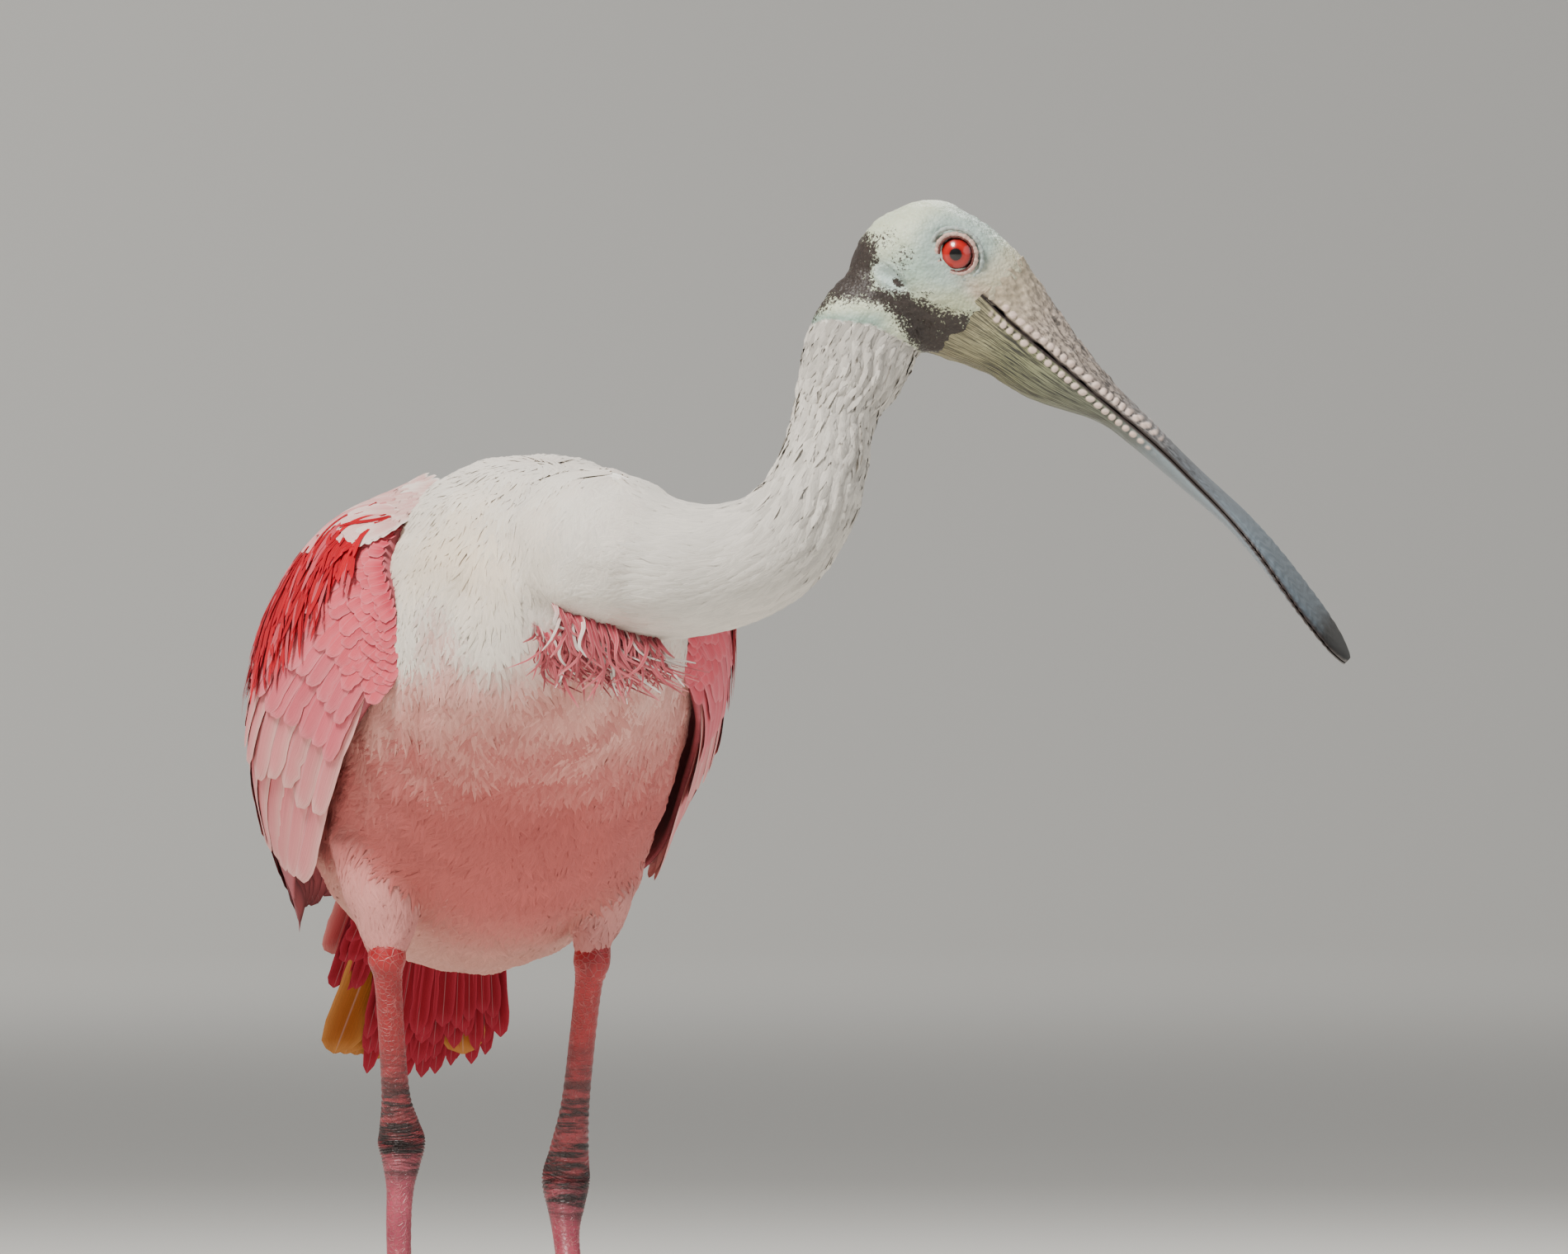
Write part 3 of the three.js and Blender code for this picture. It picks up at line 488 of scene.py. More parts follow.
def neckPlaces(points):
    # Nearest place along the neck for each point, its distance away, and the turn round it.
    points = np.asarray(points)
    best = np.empty(len(points), int)
    for start in range(0, len(points), 20000):
        some = points[start:start + 20000]
        gaps = ((some[:, None, :] - pathPoints[None, :, :3]) ** 2).sum(2)
        best[start:start + 20000] = gaps.argmin(1)
    centre = pathPoints[best, :3]
    tangent = unit(through(neckPath, np.minimum(pathPlaces[best] + 0.05, 11))[:, :3]
                   - through(neckPath, np.maximum(pathPlaces[best] - 0.05, 0))[:, :3])
    away = points - centre
    across = (away * awayWay).sum(1)
    other = np.cross(awayWay, tangent)
    turn = np.arctan2((away * unit(other)).sum(1), across)
    return pathPlaces[best], np.linalg.norm(away, axis=1), turn, tangent


def legShare(points, side):
    # How far down the thigh a point lies, and how near that leg's middle line.
    rows = np.array(legRows[side], float)
    places = np.linspace(0, 5.0, 51)
    middle = through(rows, places)
    gaps = ((points[:, None, :] - middle[None, :, :3]) ** 2).sum(2)
    best = gaps.argmin(1)
    return places[best], np.sqrt(gaps.min(1)) / middle[best, 3]


# Where the bare skin ends on the neck: across, height of the line
bareEdge = np.array([[88, 380], [98, 381], [106.7, 384.5], [122, 382.5], [131, 378], [140, 372.5],
                     [150, 366]])
bandOutline = np.array([  # dark band round nape, under the ear and to the jaw
    [122.3, 412], [123.5, 401], [123.3, 394.5], [128, 394], [136, 391.5], [146, 386.5],
    [157, 383], [157, 381], [151, 377], [146, 371], [138, 373], [133, 381], [126, 389],
    [117, 391.5], [108.6, 391], [103, 385.5], [97, 381], [92, 386], [99, 402], [109, 414]])


def screenPlaces(points):
    # Across and height in the upright plane of neck and head
    return np.asarray(points) @ acrossWay, np.asarray(points)[:, 2]


def insideOutline(x, z, outline):
    # Distance to a closed line, positive inside it
    gap = np.full(len(x), 1e9)
    inside = np.zeros(len(x), bool)
    for (x0, z0), (x1, z1) in zip(outline, np.roll(outline, -1, axis=0)):
        dx, dz = x1 - x0, z1 - z0
        share = np.clip(((x - x0) * dx + (z - z0) * dz) / (dx * dx + dz * dz), 0, 1)
        gap = np.minimum(gap, np.hypot(x - x0 - share * dx, z - z0 - share * dz))
        crossing = ((z0 > z) != (z1 > z)) & (x < x0 + (z - z0) * dx / (dz if dz else 1e-9))
        inside ^= crossing
    return np.where(inside, gap, -gap)


def bodyField(points):
    # Shares of head, neck and thigh at each point, from 0 to 1, with the neck's place.
    place, distance, turn, tangent = neckPlaces(points)
    forward = headPlaces(points)[0]
    radius = through(neckPath, place)[:, 3]
    nearNeck = ease(1.25, 1.02, distance / radius) * ease(1.2, 3.2, place)
    x, z = screenPlaces(points)
    bareLine = np.interp(x, bareEdge[:, 0], bareEdge[:, 1])
    headShare = ease(-1.2, 1.2, z - bareLine) * ((place > 8) | (forward > -46))
    thigh = np.zeros(len(points))
    for side in ("left", "right"):
        down, near = legShare(points, side)
        thigh = np.maximum(thigh, ease(1.0, 2.2, down) * ease(1.4, 1.1, near))
    return place, turn, tangent, nearNeck, np.clip(headShare, 0, 1), thigh


# Colours of the plumage over body and neck

coatTones = {
    "white": "#EDE7DC",
    "cream": "#F2DFC4",
    "neck": "#E0DAD0",
    "blush": "#E2A196",
    "rose": "#BC5A58",
    # deep: painted shade on the lower front of the breast, a darker rose than its own colour
    "deep": "#8F3236",
    "thigh": "#DC9A94",
    "rump": "#E58E94",
    "belly": "#D3A294",
    "crimson": "#7A0F1E",
}


def coatColour(points, neckShare, thighShare, seed):
    # Tint of the plumage at each place: white mantle, blushing breast with painted shade low on its
    # front, rosy belly and rump.
    x, y, z = points.T
    draw = smoothNoise(points, 26, seed)
    fine = smoothNoise(points, 8, seed + 1)
    colour = np.tile(tone(coatTones["white"]), (len(points), 1))

    def lay(name, share):
        nonlocal colour
        colour = mix(colour, tone(coatTones[name]), np.clip(share, 0, 1)[:, None])

    front = ease(-20, -85, y)
    buff = np.exp(-(((x + 30) / 26) ** 2 + ((y + 85) / 30) ** 2 + ((z - 312) / 16) ** 2))
    lay("cream", buff * 0.8 + 0.12 * draw)
    lay("blush", ease(292, 262, z + draw * 8) * 0.9)
    lay("rose", ease(278, 226, z + draw * 9 + fine * 7) * 0.85)
    # Painted shade: the front of the breast darkens towards its bottom
    lay("deep", ease(240, 190, z + draw * 10) * 0.6 * front)
    lay("belly", ease(-25, 25, y) * ease(222, 190, z + draw * 6) * 0.75)
    lay("rump", ease(50, 120, y + draw * 8) * ease(310, 250, z) * 0.8)
    lay("crimson", ease(72, 112, y + draw * 8) * ease(236, 200, z + fine * 5))
    lay("neck", neckShare)
    lay("thigh", thighShare * 0.8)
    lay("rose", thighShare * ease(190, 168, z) * 0.6)
    shade = 1 + 0.05 * fine + 0.03 * draw
    return np.clip(colour * shade[:, None], 0, 1)


# Shapes of the head laid over the smooth skin

headForms = {  # middle (forward, up), half sizes, height over the skin, all in mm
    "orbit": ((-20, 5.6), (9, 8), -1.2),
    "brow": ((-20, 14.5), (11, 3.6), 1.3),
    "earCover": ((-31, -12), (9, 7), 1.5),
    "cheek": ((-14, -9), (12, 5), 1.0),
    "mouthCorner": ((-6, 0.5), (8, 1.8), -0.9),
    "jawFold": ((-22, -20.5), (14, 1.8), -1.4),
    "jaw": ((-12, -24), (12, 4.5), 1.0),
}
furrowDepth = 0.9   # of the folds along the neck


def neckFurrow(points, place, turn):
    # 0 to 1 across each wavering fold along the neck
    return np.abs(np.sin(turn * 11 + 1.3 * np.sin(place * 3.1) + smoothNoise(points, 20, 5)))


def earDrop(forward, up):
    # 1 on the edge of the drop-shaped ear cover, less inside it
    across, high = forward + 30.2, up + 16.3
    length, over = across * 0.958 + high * 0.287, high * 0.958 - across * 0.287
    return np.hypot(length / 5.8, over / (3.0 - 0.16 * length))


def shapedSkin(points, normals):
    place, turn, _, nearNeck, headShare, _ = bodyField(points)
    forward, up, left = headPlaces(points)
    onSide = np.abs(left) > 9
    offset = np.zeros(len(points))
    for (a, b), (long, high), height in headForms.values():
        far = ((forward - a) / long) ** 2 + ((up - b) / high) ** 2
        offset += height * np.exp(-far) * (np.abs(left) > 6)
    drop = earDrop(forward, up)
    offset -= 0.8 * np.exp(-((drop - 1.1) / 0.2) ** 2) * onSide
    offset += 0.5 * np.exp(-drop ** 4) * onSide
    hole = ((forward + 29.5) / 5.2) ** 2 + ((up + 15.5 - 0.25 * (forward + 29.5)) / 2.4) ** 2
    offset -= 2.4 * np.exp(-hole ** 2) * onSide
    offset *= headShare
    furrow = neckFurrow(points, place, turn)
    offset -= furrowDepth * nearNeck * ease(3, 5, place) * (1 - headShare) * furrow
    fine = smoothNoise(points, 3.4, 8) * 0.16 + smoothNoise(points, 7, 9) * 0.18
    offset += fine * headShare
    offset += smoothNoise(points, 17, 12) * 0.7 * (1 - headShare) * (1 - nearNeck)
    return points + normals * offset[:, None]


def refined(mesh):
    # Divides the faces of the head once more, for its folds.
    work = bmesh.new()
    work.from_mesh(mesh)
    spots = np.array([v.co[:] for v in work.verts]) * 1000 - rowShift
    forward = headPlaces(spots)[0]
    near = (spots[:, 2] > 352) & (forward > -60)
    work.verts.ensure_lookup_table()
    edges = [e for e in work.edges if near[e.verts[0].index] and near[e.verts[1].index]]
    bmesh.ops.subdivide_edges(work, edges=edges, cuts=1, use_grid_fill=True, smooth=0.6)
    work.to_mesh(mesh)
    work.free()
    mesh.update()


refined(skinMesh)
skinPoints, skinNormals = meshArrays(skinMesh)
skinPoints = shapedSkin(skinPoints, skinNormals)
spots = (skinPoints + rowShift) / 1000
skinMesh.vertices.foreach_set("co", spots.ravel())
skinMesh.update()
skinPoints, skinNormals = meshArrays(skinMesh)
skinMesh.calc_loop_triangles()
triangles = np.empty(len(skinMesh.loop_triangles) * 3, int)
skinMesh.loop_triangles.foreach_get("vertices", triangles)
triangles = triangles.reshape(-1, 3)
skinTree = BVHTree.FromPolygons([tuple(p) for p in skinPoints], triangles.tolist())
print("skin shaped,", len(skinPoints), "points")


def skinMaterial():
    # Bare skin of the head over bone, scaly and dry, with the dark band and spots as pigment.
    # IOR 1.42, roughness 0.5, a little subsurface; grains about 1 mm, wrinkles 3 mm
    material, tree, shader = newMaterial("bare head skin", {
        "Roughness": 0.5, "IOR": 1.42, "Subsurface Weight": 0.08, "Subsurface Scale": 0.0015,
        "Subsurface Radius": (1.0, 0.6, 0.4),
    })
    where = addNode(tree, "TexCoord", output="Object")
    tint = addNode(tree, "Attribute", output="Color", attribute_name="tint")
    head = addNode(tree, "Attribute", output="Fac", attribute_name="head")
    band = addNode(tree, "Attribute", output="Fac", attribute_name="band")
    speck, blot, wrinkles = (
        addNode(tree, "TexNoise", {"Vector": where, "Scale": scale, "Detail": detail,
                                   "Roughness": roughness})
        for scale, detail, roughness in ((1200.0, 3.0, 0.65), (230.0, 3.0, 0.6),
                                         (300.0, 4.0, 0.6)))
    # The band's edge is broken by specks and blots, each counted from its middle of a half
    edge = addNode(tree, "Math", {0: speck, 1: 1.9, 2: band}, **timesPlus)
    edge = addNode(tree, "Math", {0: blot, 1: 0.9, 2: edge}, **timesPlus)
    edge = addNode(tree, "Math", {0: edge, 1: -1.4}, **plus)
    dark = addNode(tree, "ValToRGB", {"Fac": edge}, stops=[(0.47, 0.0), (0.68, 1.0)])
    pale = addNode(tree, "ValToRGB", {"Fac": blot}, stops=[
        (0.3, linear("#B4B898")), (0.52, linear("#CCD4B8")), (0.72, linear("#DDE3CC"))])
    paleTint = addNode(tree, "Mix", {0: 0.3, 6: tint, 7: pale}, 2, **mixing)
    darkTint = addNode(tree, "Mix", {0: speck, 6: linear("#1E1A18"), 7: linear("#4A403B")}, 2,
                       **mixing)
    bare = addNode(tree, "Mix", {0: dark, 6: paleTint, 7: darkTint}, 2, **mixing)
    colour = addNode(tree, "Mix", {0: head, 6: tint, 7: bare}, 2, **mixing)
    warts = addNode(tree, "TexVoronoi", {"Vector": where, "Scale": 900.0})
    # Height is 0.6 of a wart, counted from its rim, and 0.7 of the wrinkles
    height = addNode(tree, "Math", {0: warts, 1: -0.6, 2: 0.6}, **timesPlus)
    height = addNode(tree, "Math", {0: wrinkles, 1: 0.7, 2: height}, **timesPlus)
    relief = addNode(tree, "Bump", {"Height": height, "Distance": 0.0006, "Strength": 0.75})
    tree.links.new(colour, shader.inputs["Base Color"])
    tree.links.new(relief, shader.inputs["Normal"])
    return material


def headMarks(points):
    # Tint of the bare skin and how dark the band over nape, ear and throat is.
    forward, up, left = headPlaces(points)
    colour = np.tile(tone("#CDD4B8"), (len(points), 1))

    def lay(code, share):
        nonlocal colour
        colour = mix(colour, tone(code), np.clip(share, 0, 1)[:, None])

    x, z = screenPlaces(points)
    eyeGap = np.hypot((forward + 20) / 1.15, up - 5.6)
    lay("#88A3AA", ease(17, 9, eyeGap) * 0.85)
    lay("#86ADA8", np.exp(-(((x - 134) / 9) ** 2 + ((z - 400) / 8) ** 2)) * 0.8)
    lay("#B4B894", np.exp(-(((x - 150) / 10) ** 2 + ((z - 388) / 6) ** 2)))
    lay("#6F918C", ease(389, 384, z) * ease(131, 122, x))
    lay("#B4CCCE", np.exp(-(((forward + 30) / 6.5) ** 2 + ((up + 16) / 4.5) ** 2) ** 2))
    lay("#BBAB92", ease(-15, -6, forward) * ease(-2, 5, up) * 0.9)
    lay("#C9A393", np.exp(-(((forward + 5) / 7) ** 2 + ((up - 1.5) / 3) ** 2)) * 0.8)
    band = ease(-5.5, 5.0, insideOutline(x, z, bandOutline) + 0.9)
    for centre, size, share in (((131, 405), (7, 7), 0.47), ((127, 411), (5, 6), 0.43),
                                ((150, 385), (10, 5), 0.48), ((147, 376), (10, 7), 0.53),
                                ((137, 392), (9, 3.5), 0.42)):
        far = ((x - centre[0]) / size[0]) ** 2 + ((z - centre[1]) / size[1]) ** 2
        band = np.maximum(band, share * np.exp(-far ** 1.5))
    drop = earDrop(forward, up)
    band = np.clip(band * (1 - 1.1 * np.exp(-drop ** 4)), 0, 1)
    rim = np.exp(-((drop - 1.12) / 0.13) ** 2) * (np.abs(left) > 9)
    band = np.maximum(band, 0.58 * rim * ease(-16.5, -14.5, up - 0.25 * (forward + 30)))
    hole = ((forward + 26.5) / 2.4) ** 2 + ((up + 15.2) / 1.5) ** 2
    band = np.maximum(band, np.exp(-hole ** 2) * (np.abs(left) > 9))
    return colour, band


skinMesh.materials.append(skinMaterial())
skin = bpy.data.objects.new("skin", skinMesh)
bpy.context.scene.collection.objects.link(skin)
skinMesh.polygons.foreach_set("use_smooth", [True] * len(skinMesh.polygons))
place, turn, tangent, nearNeck, headShare, thighShare = bodyField(skinPoints)
bareTint, band = headMarks(skinPoints)
fleece = coatColour(skinPoints, nearNeck, thighShare, 3)
bareShare = ease(0.35, 0.65, headShare)
pointField(skin, "tint", mix(fleece * 0.97, bareTint, bareShare[:, None]), "FLOAT_COLOR")
pointField(skin, "band", band)
pointField(skin, "head", bareShare)
print("skin dressed")


# Coat of the body and neck: each feather a fan of thin pointed barb tufts

cubeCodes = np.array([73856093, 19349663, 83492791])   # large primes that tell cubes apart


def gridThinned(points, cell, draw):
    # Keeps one of the points in each cube of that size, which spreads them evenly.
    order = draw.permutation(len(points))
    keys = np.floor(points[order] / cell).astype(np.int64)
    code = np.bitwise_xor.reduce(keys * cubeCodes, axis=1)
    return order[np.unique(code, return_index=True)[1]]


def rootsOn(keep, cell, draw):
    # Even random places on the skin's triangles where most corners are in keep
    a, b, c = (skinPoints[triangles[:, corner]] for corner in range(3))
    area = np.linalg.norm(np.cross(b - a, c - a), axis=1) / 2
    area = area * (keep.astype(float)[triangles].mean(1) > 0.5)
    count = int(area.sum() / cell ** 2 * coatSizes["triesPerCell"])
    chosen = draw.choice(len(area), count, p=area / area.sum())
    u, v = draw.random(count), draw.random(count)
    flip = u + v > 1
    u[flip], v[flip] = 1 - u[flip], 1 - v[flip]
    spots = a[chosen] + (b - a)[chosen] * u[:, None] + (c - a)[chosen] * v[:, None]
    return spots[gridThinned(spots, cell, draw)]


def nearestOn(points, reach=40.0):
    # Nearest place on the skin and its outward direction, for each point
    found, outward = np.empty_like(points), np.empty_like(points)
    for index, point in enumerate(points):
        spot, normal, _, _ = skinTree.find_nearest(point, reach)
        found[index] = spot if spot else point
        outward[index] = normal if normal else (0, 0, 1)
    return found, outward


def along(ways, normals):
    return unit(ways - (ways * normals).sum(1, keepdims=True) * normals)


def layTufts(name, roots, wayAt, sizes, lifts, tintRoot, tintTip, places, draw):
    # Thin tapered tufts that follow the surface: three steps of its lie, then a free tip.
    # sizes gives length and half width, lifts the heights above the skin at its four rows.
    count = len(roots)
    length, half = sizes
    spot, normal = nearestOn(roots)
    way = along(wayAt(spot, normal), normal)
    rows = [(spot, normal, way)]
    for step in range(3):
        spot, normal = nearestOn(rows[-1][0] + rows[-1][2] * (length / 3)[:, None])
        way = along(rows[-1][2], normal)
        rows.append((spot, normal, way))
    layers = []
    for step, (spot, normal, way) in enumerate(rows):
        middle = spot + normal * lifts[:, step:step + 1]
        side = np.cross(normal, way)
        if step == 3:
            layers.append([middle])
            continue
        wide = side * (half * coatSizes["tuftShape"][step])[:, None]
        crown = normal * (half * coatSizes["tuftCrown"])[:, None]
        layers.append([middle - wide, middle + crown, middle + wide])
    points = np.stack([p for layer in layers for p in layer], axis=1).reshape(-1, 3)
    quads = [(0, 1, 4, 3), (1, 2, 5, 4), (3, 4, 7, 6), (4, 5, 8, 7)]
    ends = [(6, 7, 9), (7, 8, 9)]
    starts = np.arange(count) * 10
    faces = [tuple(int(s + i) for i in f) for s in starts for f in quads + ends]
    piece = meshObject(name, points, faces, plume)
    shares = np.array([0, 0, 0, 0.38, 0.38, 0.38, 0.72, 0.72, 0.72, 1.0])
    acrossAt = np.array([0.0, 0.5, 1, 0, 0.5, 1, 0, 0.5, 1, 0.5])
    colour = mix(tintRoot[:, None, :], tintTip[:, None, :], shares[None, :, None])
    pointField(piece, "tint", colour.reshape(-1, 3), "FLOAT_COLOR")
    vary = draw.random(count)
    vaneUv = np.stack([acrossAt[None, :] + np.floor(vary * 40)[:, None],
                       shares[None, :] + np.zeros((count, 1))], axis=2)
    uvMap(piece, "vane", vaneUv.reshape(-1, 2))
    patch = bakePatch
    shapeX = np.array([0.15, 0.5, 0.85, 0, 0.5, 1, 0.1, 0.5, 0.9, 0.5])
    bake = np.stack([places[:, :1] + (shapeX[None, :] - 0.5) * patch,
                     places[:, 1:2] + (shares[None, :] - 0.5) * patch], axis=2)
    uvMap(piece, "OFBake", bake.reshape(-1, 2))
    return piece


def spread(values):
    # Fits numbers to 0.01..0.99.
    low, high = values.min(), values.max()
    return 0.01 + 0.98 * (values - low) / max(high - low, 1e-9)


coatSizes = {
    "bodyCell": 3.7,      # mm between feathers
    "bodyLength": 15.0,
    "tuftHalf": 1.25,
    "fan": 5,             # tufts in one feather
    "fanTurn": 15.0,      # degrees between them
    "neckCell": 1.75,
    "neckLength": 6.5,
    "thighCell": 3.0,
    "thighLength": 14.0,
    "thighHalf": 1.0,
    "bellyMore": 1.1,     # belly and rump plumage against that of the mantle
    "triesPerCell": 6,
    "tuftShape": (0.55, 1.0, 0.78),   # width at the first three rows of a tuft
    "tuftCrown": 0.3,
    "quickCoarser": 1.8,  # wider cells for a quick version
}
bakePatch = 0.003         # side of one feather's place on the bake map
wayRear = unit(np.array([0, 0.9, -0.44]))


def bodyWay(points):
    # Lie of the plumage: along the neck to its root, down the breast, back over the body.
    x, y, _ = points.T
    place, distance, _, tangent = neckPlaces(points)
    radius = through(neckPath, place)[:, 3]
    nearNeck = ease(1.35, 1.05, distance / radius) * ease(0.8, 2.4, place)
    breast = ease(-30, -88, y)[:, None]
    way = wayRear[None, :] * (1 - breast) + np.array([0, 0.12, -1.0])[None, :] * breast
    sideways = 0.28 * np.sign(x) * ease(0, 30, np.abs(x))
    way = way + np.column_stack([sideways, 0 * x, 0 * x])
    way = way * (1 - nearNeck)[:, None] - tangent * nearNeck[:, None]
    for side in ("left", "right"):
        down, near = legShare(points, side)
        share = (ease(1.0, 2.0, down) * ease(1.5, 1.15, near))[:, None]
        way = way * (1 - share) + np.array([0, -0.15, -1.0])[None, :] * share
    wave = 0.16 * np.stack([smoothNoise(points, 22, 40 + k) for k in range(3)], axis=1)
    return unit(way + wave)


def bodyPlaces(points):
    # Place on an unwrap of the body: along its length and round it.
    turn = np.arctan2(points[:, 0], points[:, 2] - 250)
    return np.column_stack([spread(points[:, 1]), spread(turn)])


def fanned(roots):
    # Each root as a fan of tufts: places, turns and shares from the middle
    fan = coatSizes["fan"]
    steps = np.arange(fan) - (fan - 1) / 2
    turns = rad(coatSizes["fanTurn"]) * steps
    return (np.repeat(roots, fan, axis=0), np.tile(turns, len(roots)),
            np.tile(np.abs(steps) / max(steps.max(), 1), len(roots)))


def turned(ways, normals, angles):
    side = np.cross(normals, ways)
    return ways * np.cos(angles)[:, None] + side * np.sin(angles)[:, None]


def bodyCoat(name, keep, cell, length, half, seed, deepness=1.0):
    draw = np.random.default_rng(seed)
    roots = rootsOn(keep, cell, draw)
    spot, turns, outer = fanned(roots)
    count = len(spot)
    each = np.repeat(draw.random(len(roots)), coatSizes["fan"])
    reach = length * (0.78 + 0.34 * each) * (1 - 0.16 * outer ** 2)
    reach = reach * draw.uniform(0.94, 1.06, count)
    wide = half * draw.uniform(0.85, 1.15, count)
    base = 0.15 + 0.45 * each
    _, _, _, nearNeck, _, thigh = bodyField(spot)
    close = 1 - 0.6 * ease(34, 12, np.linalg.norm(spot - neckRoot, axis=1) - 26)
    lifts = np.column_stack([base * 0.2, 0.5 + base, 1.0 + base, 1.0 + base * 1.5]) * deepness
    lifts = lifts * close[:, None]
    sway = draw.normal(0, 0.05, count)

    def wayAt(points, normals):
        ways = along(bodyWay(points), normals)
        return turned(ways, normals, turns + sway)

    tint = coatColour(spot, nearNeck, thigh, 3)
    light = (0.97 + 0.08 * (each - 0.5))[:, None]
    rootTint = np.clip(tint * light * np.array([0.93, 0.88, 0.87]), 0, 1)
    tipTint = np.clip(tint * light * 1.03, 0, 1)
    return layTufts(name, spot, wayAt, (reach, wide), lifts, rootTint, tipTint, bodyPlaces(spot),
                    draw)


xs, ys, zs = skinPoints.T
onNeck = ease(1.25, 1.02, neckPlaces(skinPoints)[1] / through(neckPath, place)[:, 3])
onNeck = onNeck * (place > 2.3)
isHead = headShare > 0.4
legDown = np.maximum.reduce([np.where(legShare(skinPoints, word)[1] < 1.3,
                                      legShare(skinPoints, word)[0], 0) for word in legRows])
isThigh = (thighShare > 0.35) & (legDown < 3.95)
isShin = legDown >= 3.95
isBody = ~isHead & (onNeck < 0.5) & ~isThigh & ~isShin & (zs < 352)
upperPart = zs > 262
neckRoot = through(neckPath, np.array([2.2]))[0, :3]
coarser = 1
cell, length, half = (coatSizes[key] for key in ("bodyCell", "bodyLength", "tuftHalf"))
more = coatSizes["bellyMore"]
print("coat begins")
coatPieces = [bodyCoat("mantle_feathers", isBody & upperPart, cell * coarser, length, half, 51)]
print("mantle done")
for name, part, seed in (("belly_feathers", ys < 20, 52), ("rump_feathers", ys >= 20, 54)):
    coatPieces.append(bodyCoat(name, isBody & ~upperPart & part, cell * coarser, length * more,
                               half * more, seed))
coatPieces.append(bodyCoat("thigh_feathers", isThigh & ~isHead, coatSizes["thighCell"] * coarser,
                           coatSizes["thighLength"], coatSizes["thighHalf"], 53, 0.8))
print("body coat done")


def neckCoat():
    draw = np.random.default_rng(61)
    keep = ((onNeck > 0.4) & (headShare < 0.55)) | ((headShare > 0.05) & (headShare < 0.5))
    roots = rootsOn(keep, coatSizes["neckCell"] * coarser, draw)
    count = len(roots)
    each = draw.random(count)
    here, _, turn, _ = neckPlaces(roots)
    low = ease(7, 3, here)
    reach = coatSizes["neckLength"] * (0.75 + 0.5 * each) * (1 + 0.9 * low)
    wide = (0.95 + 0.35 * each) * (1 + 0.4 * low)
    lifts = np.column_stack([0.05 + 0 * each, 0.3 + 0.25 * each, 0.45 + 0.4 * each,
                             0.3 + 0.6 * each])
    sway = draw.normal(0, 0.12, count)

    def wayAt(points, normals):
        return turned(along(bodyWay(points), normals), normals, sway)

    furrow = neckFurrow(roots, here, turn)
    _, _, _, nearNeck, _, thigh = bodyField(roots)
    tint = coatColour(roots, nearNeck, thigh, 3)
    # Painted shade: the neck feathers darken in the furrows between the folds
    paintedFurrowShade = (1 - 0.22 * furrow ** 2 * nearNeck * ease(3, 5, here))[:, None]
    grey = ease(8.2, 9.4, here)[:, None] * 0.3
    tint = tint * paintedFurrowShade * (1 - grey * draw.random((count, 1)))
    rootTint = np.clip(tint * np.array([0.95, 0.94, 0.93]), 0, 1)
    tipTint = np.clip(tint * (0.98 + 0.1 * (each - 0.5))[:, None], 0, 1)
    spots = np.column_stack([spread(here), spread(turn)])
    return layTufts("neck_feathers", roots, wayAt, (reach, wide), lifts, rootTint, tipTint, spots,
                    draw)


coatPieces.append(neckCoat())
print("neck coat done")
for piece in coatPieces:
    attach(piece, "root")
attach(skin, "root")
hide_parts("torso", "neck_lower", "neck_upper", "head", "thigh_right", "thigh_left")


# Feathers with a shaft and two vanes

vaneAcross = np.array([-1, -0.78, -0.52, -0.26, -0.06, 0, 0.06, 0.26, 0.52, 0.78, 1])
vaneRidge = np.array([0, 0, 0, 0, 0.12, 0.3, 0.12, 0, 0, 0, 0])


